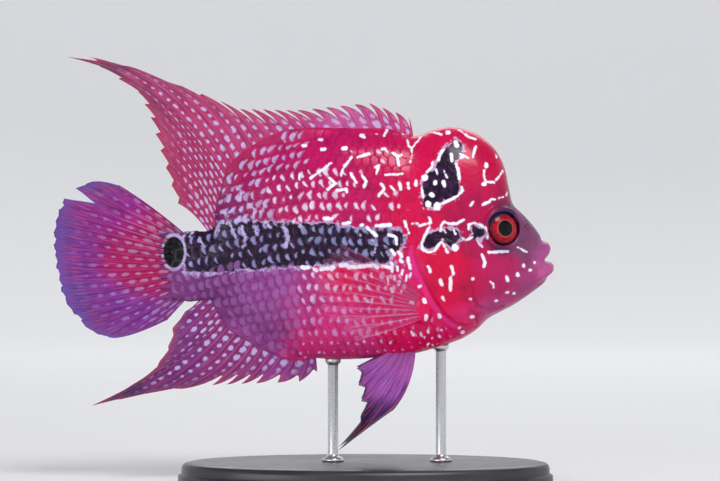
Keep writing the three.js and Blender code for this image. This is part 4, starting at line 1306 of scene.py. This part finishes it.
def flesh_colour(tree, colours, base):
    """Body colour with its mottling, gill edge, dark blotches, froth, the lid over the eye with a painted
    shade under it, and tail spot.
    """
    mottle = noise(tree, 260.0, 4.0, 0.65)
    deep = mixed(tree, 1.0, base, (0.42, 0.30, 0.50, 1), "MULTIPLY")
    colour = mixed(tree, ramped(tree, mottle, 0.45, 0.75, 0.0, 0.55), base, deep)
    gill = calc(tree, "MULTIPLY", ramped(tree, attribute(tree, "gill_away"), 0.0, 0.3),
                ramped(tree, attribute(tree, "gill_away"), 1.6, 1.1))
    colour = mixed(tree, calc(tree, "MULTIPLY", gill, 0.7), colour, (*colours.gill_edge, 1))
    fringe = ragged(tree, calc(tree, "SUBTRACT", attribute(tree, "dark_away"), 0.5), 3.4, 0.25, 900.0)
    colour = mixed(tree, calc(tree, "MULTIPLY", fringe, 0.72), colour, (*colours.pearl, 1))
    dark = ragged(tree, attribute(tree, "dark_away"), 2.6, 0.25, 620.0)
    grain = ramped(tree, noise(tree, 700.0, 3.0), 0.45, 0.72)
    night = mixed(tree, grain, (*colours.band, 1), (*colours.band_light, 1))
    colour = mixed(tree, dark, colour, night)
    froth = ragged(tree, attribute(tree, "froth_away"), 2.0, 0.3, 1100.0)
    colour = mixed(tree, calc(tree, "MULTIPLY", froth, 0.85), colour, (*colours.pearl, 1))
    # The lid's colour, laid over the eye and under it as a painted shade.
    lid_and_eye_shade = ragged(tree, attribute(tree, "lid_and_eye_shade_away"), 0.5, 0.35, 900.0)
    colour = mixed(tree, calc(tree, "MULTIPLY", lid_and_eye_shade, 0.85), colour, (*colours.lid_and_eye_shade, 1))
    ring = ragged(tree, calc(tree, "SUBTRACT", attribute(tree, "spot_away"), 0.75), 0.25, 0.12, 900.0)
    colour = mixed(tree, calc(tree, "MULTIPLY", ring, 0.7), colour, (*colours.pearl, 1))
    spot = ragged(tree, attribute(tree, "spot_away"), 0.3, 0.15, 900.0)
    return mixed(tree, spot, colour, (*colours.spot, 1))


def white_marks(tree, colours, colour):
    """Lays the white marks over a colour, lavender at their edges."""
    away = calc(tree, "SUBTRACT", attribute(tree, "white_away"), 0.08)
    white = ragged(tree, away, 0.85, 0.12, 820.0)
    tint = mixed(tree, ragged(tree, away, 0.4, 0.2, 1000.0), (*colours.pearl, 1), (*colours.white, 1))
    return white, mixed(tree, white, colour, tint)


def skin_material(colours):
    material, tree, shader = new_material(
        "wet_skin", Coat_Weight=0.25, Coat_Roughness=0.12, Specular_IOR_Level=0.1,
        Subsurface_Weight=0.08, Subsurface_Scale=0.001)
    shader.inputs["Subsurface Radius"].default_value = (1.0, 0.3, 0.3)
    colour = flesh_colour(tree, colours, attribute(tree, "base_tint", True))
    white, colour = white_marks(tree, colours, colour)
    tree.links.new(colour, shader.inputs["Base Color"])
    grain = use_group(tree, "Wet grain", wet_grain_group, {"Smoothest": 0.25, "Roughest": 0.42})
    tree.links.new(grain.outputs["Roughness"], shader.inputs["Roughness"])
    place = put(tree, "ShaderNodeTexCoord").outputs["Object"]
    cells = put(tree, "ShaderNodeTexVoronoi", {"Scale": 1150.0, "Vector": place}, feature="SMOOTH_F1")
    low = bumped(tree, cells.outputs["Distance"], 0.4, 0.0002, None)
    raised = calc(tree, "MULTIPLY_ADD", white, 0.8, grain.outputs["Height"])
    bumped(tree, raised, 0.3, 0.0002, shader, low)
    return material


def scale_material(colours):
    material, tree, shader = new_material(
        "scales_wet", Coat_Weight=0.25, Coat_Roughness=0.14, Specular_IOR_Level=0.1,
        Subsurface_Weight=0.05, Subsurface_Scale=0.0008)
    colour = flesh_colour(tree, colours, attribute(tree, "base_tint", True))
    edge = attribute(tree, "rim")
    shade = mixed(tree, 1.0, colour, (0.40, 0.22, 0.42, 1), "MULTIPLY")
    colour = mixed(tree, ramped(tree, edge, 0.45, 1.0, 0.0, 0.7), colour, shade)
    pearl = calc(tree, "MULTIPLY", ragged(tree, attribute(tree, "pearl_away"), 1.6, 0.45, 1100.0),
                 attribute(tree, "pearl_strength"))
    colour = mixed(tree, pearl, colour, attribute(tree, "pearl_tint", True))
    spot = ragged(tree, attribute(tree, "spot_away"), 0.3, 0.15, 900.0)
    colour = mixed(tree, spot, colour, (*colours.spot, 1))
    _, colour = white_marks(tree, colours, colour)
    tree.links.new(colour, shader.inputs["Base Color"])
    grain = use_group(tree, "Wet grain", wet_grain_group, {"Smoothest": 0.18, "Roughest": 0.36})
    tree.links.new(grain.outputs["Roughness"], shader.inputs["Roughness"])
    bumped(tree, grain.outputs["Height"], 0.2, 0.00015, shader)
    return material


def fin_material(name, colours, spots, spacing, clear, edge_tint):
    """Fin membrane and rays: spots between the rays, darker streaks on them and a thin edge."""
    material, tree, shader = new_material(
        name, Coat_Weight=0.2, Coat_Roughness=0.2, Specular_IOR_Level=0.15,
        Subsurface_Weight=0.1, Subsurface_Scale=0.0006)
    base = attribute(tree, "base_tint", True)
    ridge = attribute(tree, "ray_ridge")
    edge = attribute(tree, "edge_share")
    ray = attribute(tree, "ray_number")
    away = attribute(tree, "ray_away")
    lengthways = put(tree, "ShaderNodeCombineXYZ",
                     {"X": calc(tree, "MULTIPLY", ray, 5.0), "Y": calc(tree, "MULTIPLY", away, 0.14)})
    streak = noise(tree, 1.0, 4.0, 0.6, vector=lengthways.outputs[0])
    shade = mixed(tree, ramped(tree, away, 1.0, 9.0), (0.8, 0.6, 0.8, 1), (0.6, 0.32, 0.6, 1))
    deep = mixed(tree, 1.0, base, shade, "MULTIPLY")
    pale = mixed(tree, 0.35, base, (*colours.fin_spot, 1))
    colour = mixed(tree, ramped(tree, streak, 0.36, 0.6), deep, base)
    colour = mixed(tree, ramped(tree, streak, 0.56, 0.8, 0.0, 0.8), colour, pale)
    bright = mixed(tree, 0.55, base, (*colours.fin_ray, 1))
    colour = mixed(tree, ramped(tree, ridge, 0.35, 0.95, 0.0, 0.8), colour, bright)
    rimmed = calc(tree, "MULTIPLY", ramped(tree, ridge, 0.02, 0.3), ramped(tree, ridge, 0.7, 0.35))
    colour = mixed(tree, calc(tree, "MULTIPLY", rimmed, 0.5), colour, deep)
    if spots:
        group = use_group(tree, "Fin spots", fin_spots_group,
                          {"Ray": ray, "Away": away, "Spacing": spacing,
                           "Width": ramped(tree, away, 3.0, 18.0, 0.36, 0.22),
                           "Height": ramped(tree, away, 3.0, 16.0, 0.52, 0.38)})
        fade = ramped(tree, edge, 0.95, 0.5)
        amount = calc(tree, "MULTIPLY", group.outputs["Mask"], calc(tree, "MULTIPLY", fade, spots))
        colour = mixed(tree, amount, colour, (*colours.fin_spot, 1))
    rim = (*linear_colour(edge_tint), 1)
    colour = mixed(tree, ramped(tree, edge, 0.88, 1.0, 0.0, 0.75), colour, rim)
    spot = ragged(tree, attribute(tree, "spot_away"), 0.3, 0.15, 900.0)
    colour = mixed(tree, spot, colour, (*colours.spot, 1))
    tree.links.new(colour, shader.inputs["Base Color"])
    grain = use_group(tree, "Wet grain", wet_grain_group, {"Smoothest": 0.28, "Roughest": 0.5})
    tree.links.new(grain.outputs["Roughness"], shader.inputs["Roughness"])
    thin = calc(tree, "SUBTRACT", 1.0, ramped(tree, edge, 0.55, 1.0, 0.0, clear))
    solid = calc(tree, "MAXIMUM", thin, calc(tree, "MULTIPLY", ridge, 0.85))
    tree.links.new(solid, shader.inputs["Alpha"])
    bumped(tree, grain.outputs["Height"], 0.25, 0.00015, shader)
    return material


def clear_fin_material(colours):
    """The nearly clear pectoral fins, with fine pink rays."""
    material, tree, shader = new_material("pectoral_clear", Coat_Weight=0.5, Coat_Roughness=0.15)
    ridge = attribute(tree, "ray_ridge")
    edge = attribute(tree, "edge_share")
    colour = mixed(tree, ridge, (*colours.gill_edge, 1), (*colours.pearl, 1))
    tree.links.new(colour, shader.inputs["Base Color"])
    grain = use_group(tree, "Wet grain", wet_grain_group, {"Smoothest": 0.2, "Roughest": 0.35})
    tree.links.new(grain.outputs["Roughness"], shader.inputs["Roughness"])
    web = ramped(tree, edge, 0.0, 0.8, 0.22, 0.05)
    rays = calc(tree, "MULTIPLY", ridge, ramped(tree, edge, 0.0, 1.0, 0.55, 0.12))
    tree.links.new(calc(tree, "MAXIMUM", web, rays), shader.inputs["Alpha"])
    bumped(tree, grain.outputs["Height"], 0.2, 0.0001, shader)
    return material


def eye_material(colours):
    material, tree, shader = new_material("eye_wet", Coat_Weight=0.7, Coat_Roughness=0.02, Coat_IOR=1.33,
                                          Roughness=0.3, Specular_IOR_Level=0.05)
    iris = attribute(tree, "iris_away")
    pupil = attribute(tree, "pupil_away")
    flecks = noise(tree, 1500.0, 4.0, 0.7)
    red = mixed(tree, ramped(tree, flecks, 0.35, 0.7), (*colours.iris, 1), (*colours.iris_deep, 1))
    red = mixed(tree, ramped(tree, iris, 2.7, 3.6), red, (*colours.iris_deep, 1))
    red = mixed(tree, ramped(tree, iris, 3.4, 3.9), red, (0.02, 0.004, 0.012, 1))
    ring = calc(tree, "MULTIPLY", ramped(tree, pupil, 1.85, 1.95), ramped(tree, pupil, 2.25, 2.05))
    red = mixed(tree, calc(tree, "MULTIPLY", ring, 0.8), red, (0.35, 0.10, 0.10, 1))
    lid_and_eye_shade = ramped(tree, attribute(tree, "lid_and_eye_shade_away"), 0.25, -0.25)
    red = mixed(tree, calc(tree, "MULTIPLY", lid_and_eye_shade, 0.85), red, (*colours.lid_and_eye_shade, 1))
    colour = mixed(tree, ramped(tree, pupil, 1.95, 1.82), red, (0.001, 0.001, 0.002, 1))
    tree.links.new(colour, shader.inputs["Base Color"])
    bumped(tree, flecks, 0.15, 0.00008, shader)
    return material


def base_material(colours):
    material, tree, shader = new_material("stand_satin", Coat_Weight=0.25, Coat_Roughness=0.25)
    grain = noise(tree, 1400.0, 4.0)
    slow = noise(tree, 60.0, 3.0)
    colour = mixed(tree, ramped(tree, slow, 0.35, 0.65), (*colours.stand, 1),
                   (*(value * 1.5 for value in colours.stand), 1))
    tree.links.new(colour, shader.inputs["Base Color"])
    tree.links.new(ramped(tree, slow, 0.3, 0.7, 0.32, 0.46), shader.inputs["Roughness"])
    bumped(tree, grain, 0.18, 0.0001, shader)
    return material


def rod_material():
    material, tree, shader = new_material("rod_brushed", Metallic=1.0)
    place = put(tree, "ShaderNodeTexCoord").outputs["Object"]
    stretched = put(tree, "ShaderNodeMapping", {"Vector": place, "Scale": (300.0, 300.0, 6000.0)})
    lines = noise(tree, 1.0, 3.0, vector=stretched.outputs[0])
    colour = mixed(tree, lines, (0.58, 0.59, 0.61, 1), (0.68, 0.69, 0.71, 1))
    tree.links.new(colour, shader.inputs["Base Color"])
    tree.links.new(ramped(tree, lines, 0.3, 0.7, 0.24, 0.32), shader.inputs["Roughness"])
    bumped(tree, lines, 0.04, 0.00003, shader)
    return material


def floor_material(colours):
    material, tree, shader = new_material("floor_pale", Roughness=0.85)
    tone = noise(tree, 18.0, 3.0)
    colour = mixed(tree, tone, (*colours.floor, 1), (*(value * 0.97 for value in colours.floor), 1))
    tree.links.new(colour, shader.inputs["Base Color"])
    place = put(tree, "ShaderNodeTexCoord").outputs["Object"]
    # Painted light: the floor glows more the farther it is from the middle, lighting up the far backdrop in
    # place of lamp light.
    reach = put(tree, "ShaderNodeVectorMath", {0: place}, operation="LENGTH").outputs["Value"]
    painted_backdrop_light = mixed(tree, ramped(tree, reach, 0.35, 1.3), (0, 0, 0, 1), (*colours.floor, 1))
    tree.links.new(painted_backdrop_light, shader.inputs["Emission Color"])
    shader.inputs["Emission Strength"].default_value = 0.26
    return material


# Settings


def colour_setting(name, description, rgb):
    return bpy.props.FloatVectorProperty(
        name=name, description=description, subtype="COLOR", size=3, min=0, max=1,
        default=tuple(float(value) for value in linear_colour(rgb)))


class FlowerhornSizes(bpy.types.PropertyGroup):
    """Sizes of the surface that a user would change."""

    skin_voxel: bpy.props.FloatProperty(
        name="Skin fineness", description="Spacing of the skin's points", default=0.00038, unit="LENGTH")
    gill_raise: bpy.props.FloatProperty(
        name="Gill cover rise", description="How far the rear of a gill cover stands out, in mm",
        default=0.38)
    scale_lift: bpy.props.FloatProperty(
        name="Scale lift", description="How far a scale's rear edge stands out, in mm", default=0.3)
    ray_half: bpy.props.FloatProperty(
        name="Ray thickness", description="Half the thickness of a fin ray at its root, in mm", default=0.42)
    web_half: bpy.props.FloatProperty(
        name="Membrane thickness", description="Half the thickness of a fin's membrane, in mm", default=0.12)


class FlowerhornColours(bpy.types.PropertyGroup):
    """Colours of the fish, its stand and the floor."""

    white: colour_setting("White marks", "The worm marks on the head and flank", (252, 246, 255))
    pearl: colour_setting("Pearls", "The pale ring of the tail spot and clear rays", (206, 190, 236))
    band: colour_setting("Flank band", "The dark band and blotches", (24, 5, 34))
    band_light: colour_setting("Flank band light", "The lighter grain of the dark band", (66, 24, 72))
    spot: colour_setting("Tail spot", "The black spot at the tail root", (6, 4, 12))
    gill_edge: colour_setting("Gill edge", "The soft skin behind the gill cover", (232, 40, 140))
    fin_ray: colour_setting("Fin rays", "The lighter tone of the rays", (208, 84, 116))
    fin_spot: colour_setting("Fin spots", "The spots between the rays", (198, 182, 232))
    iris: colour_setting("Iris", "The bright part of the iris", (202, 0, 30))
    iris_deep: colour_setting("Deep iris", "The darker part of the iris", (96, 0, 20))
    # This colour also paints the shade under each eye.
    lid_and_eye_shade: colour_setting("Lid", "The dark skin that arches over each eye", (44, 46, 82))
    stand: colour_setting("Stand", "The oval base", (34, 34, 38))
    floor: colour_setting("Floor", "The floor and backdrop", (226, 226, 228))


class FlowerhornStage(bpy.types.PropertyGroup):
    """Camera and lights."""

    camera_away: bpy.props.FloatProperty(
        name="Camera distance", description="From the fish's middle plane", default=0.648, unit="LENGTH")
    camera_lens: bpy.props.FloatProperty(name="Lens", description="Focal length in mm", default=135.0)
    camera_height: bpy.props.FloatProperty(
        name="Camera height", description="Above the floor", default=0.05802, unit="LENGTH")
    camera_forward: bpy.props.FloatProperty(
        name="Camera forward", description="From the stand's middle towards the snout", default=0.01368,
        unit="LENGTH")
    key_power: bpy.props.FloatProperty(
        name="Key light", description="Power of the main light", default=6.5, unit="POWER")


# Operators


class FLOWERHORN_OT_skin(bpy.types.Operator):
    """Build the one skin of head, body, gill covers and tail root"""

    bl_idname = "flowerhorn.skin"
    bl_label = "Skin"

    def execute(self, context):
        made = build_skin(context.scene.flowerhorn_sizes)
        own(made, BODY_NODES, skin_material(context.scene.flowerhorn_colours))
        return {"FINISHED"}


class FLOWERHORN_OT_scales(bpy.types.Operator):
    """Lay overlapping scales over both flanks"""

    bl_idname = "flowerhorn.scales"
    bl_label = "Scales"

    def execute(self, context):
        mesh = bpy.data.objects["skin"].data
        places, _ = mesh_arrays(mesh)
        skin = Skin(places, [polygon.vertices for polygon in mesh.polygons])
        material = scale_material(context.scene.flowerhorn_colours)
        for side in SIDES:
            own(build_scales(side, skin, context.scene.flowerhorn_sizes), (), material)
        return {"FINISHED"}


class FLOWERHORN_OT_fins(bpy.types.Operator):
    """Build all seven fins with their rays"""

    bl_idname = "flowerhorn.fins"
    bl_label = "Fins"

    def execute(self, context):
        colours = context.scene.flowerhorn_colours
        materials = {kind: fin_material(f"fin_{kind}", colours, *looks) for kind, looks in FIN_LOOKS.items()}
        clear = clear_fin_material(colours)
        materials.update(caudal=materials["tail"], pectoral=clear)
        for node, made in build_fins(context.scene.flowerhorn_sizes).items():
            own(made, (node,), materials.get(node.split("_")[0], materials["spotted"]))
        return {"FINISHED"}


class FLOWERHORN_OT_eyes(bpy.types.Operator):
    """Build both eyes"""

    bl_idname = "flowerhorn.eyes"
    bl_label = "Eyes"

    def execute(self, context):
        skin = Skin(*body_loft())
        material = eye_material(context.scene.flowerhorn_colours)
        for side in SIDES:
            own(build_eye(side, skin), (f"eye_{flank(side)}",), material)
        return {"FINISHED"}


class FLOWERHORN_OT_stand(bpy.types.Operator):
    """Build the oval base and the two rods"""

    bl_idname = "flowerhorn.stand"
    bl_label = "Stand"

    def execute(self, context):
        satin = base_material(context.scene.flowerhorn_colours)
        own(build_stand_base(), ("stand_base",), satin)
        steel = rod_material()
        for end in ("front", "back"):
            node = f"stand_rod_{end}"
            own(build_rod(f"rod_{end}", node), (node,), steel)
        return {"FINISHED"}


class FLOWERHORN_OT_stage(bpy.types.Operator):
    """Set up the floor, lights and camera"""

    bl_idname = "flowerhorn.stage"
    bl_label = "Stage"

    def execute(self, context):
        stage = context.scene.flowerhorn_stage
        build_floor(context.scene.flowerhorn_colours)
        build_lights(stage)
        build_camera(stage)
        return {"FINISHED"}


def build_floor(colours):
    """A pale floor that curves up all round the fish, as in a round studio."""
    profile = [(1, 0), (FLOOR_FLAT / 2, 0), (FLOOR_FLAT, 0)]
    for angle in np.linspace(0, np.pi / 2, 24)[1:]:
        profile.append((FLOOR_FLAT + FLOOR_BEND * math.sin(angle), FLOOR_BEND * (1 - math.cos(angle))))
    profile.append((FLOOR_FLAT + FLOOR_BEND, FLOOR_TOP))
    around = np.arange(FLOOR_SIDES) * 2 * np.pi / FLOOR_SIDES
    points = [(reach * math.cos(a), reach * math.sin(a), z) for reach, z in profile for a in around]
    made = new_object("floor_sweep", points, grid_faces(len(profile), FLOOR_SIDES, wrap=True))
    made.data.materials.append(floor_material(colours))


def area_light(name, place, size, power):
    """A soft light that looks at the middle of the fish."""
    data = bpy.data.lights.new(name, "AREA")
    data.shape = "RECTANGLE"
    data.size, data.size_y = size
    data.energy = power
    light = bpy.data.objects.new(name, data)
    light.location = place
    light.rotation_euler = (Vector(LIT_MIDDLE) - Vector(place)).to_track_quat("-Z", "Y").to_euler()
    bpy.context.scene.collection.objects.link(light)


def build_lights(stage):
    for name, place, size, share in LIGHTS:
        area_light(name, place, size, stage.key_power * share)
    world = bpy.data.worlds.new("studio")
    world.use_nodes = True
    background = world.node_tree.nodes["Background"].inputs
    background["Color"].default_value = STUDIO_COLOUR
    background["Strength"].default_value = STUDIO_STRENGTH
    bpy.context.scene.world = world
    bpy.context.scene.view_settings.view_transform = "Standard"
    bpy.context.scene.view_settings.look = "None"


def build_camera(stage):
    data = bpy.data.cameras.new("camera")
    data.lens = stage.camera_lens
    data.sensor_width = SENSOR_WIDTH
    camera = bpy.data.objects.new("camera", data)
    camera.location = (stage.camera_forward, -stage.camera_away, stage.camera_height)
    camera.rotation_euler = (math.pi / 2, 0, 0)
    bpy.context.scene.collection.objects.link(camera)
    bpy.context.scene.camera = camera


class FLOWERHORN_PT_panel(bpy.types.Panel):
    """Sidebar panel with every step of the model"""

    bl_idname = "FLOWERHORN_PT_panel"
    bl_label = "Flowerhorn"
    bl_space_type = "VIEW_3D"
    bl_region_type = "UI"
    bl_category = "Flowerhorn"

    def draw(self, context):
        for settings in ("flowerhorn_sizes", "flowerhorn_colours", "flowerhorn_stage"):
            group = getattr(context.scene, settings)
            for name in group.__annotations__:
                self.layout.prop(group, name)
        for step in STEPS:
            self.layout.operator(step.bl_idname)


STEPS = (FLOWERHORN_OT_skin, FLOWERHORN_OT_scales, FLOWERHORN_OT_fins, FLOWERHORN_OT_eyes,
         FLOWERHORN_OT_stand, FLOWERHORN_OT_stage)
SETTINGS = {"flowerhorn_sizes": FlowerhornSizes, "flowerhorn_colours": FlowerhornColours,
            "flowerhorn_stage": FlowerhornStage}


def register():
    for kind in (*SETTINGS.values(), *STEPS, FLOWERHORN_PT_panel):
        bpy.utils.register_class(kind)
    for name, kind in SETTINGS.items():
        setattr(bpy.types.Scene, name, bpy.props.PointerProperty(type=kind))


def unregister():
    for name in SETTINGS:
        delattr(bpy.types.Scene, name)
    for kind in reversed((*SETTINGS.values(), *STEPS, FLOWERHORN_PT_panel)):
        bpy.utils.unregister_class(kind)


def main():
    register()
    bpy.ops.flowerhorn.skin()
    bpy.ops.flowerhorn.scales()
    bpy.ops.flowerhorn.fins()
    bpy.ops.flowerhorn.eyes()
    bpy.ops.flowerhorn.stand()
    bpy.ops.flowerhorn.stage()


if __name__ == "__main__":
    main()
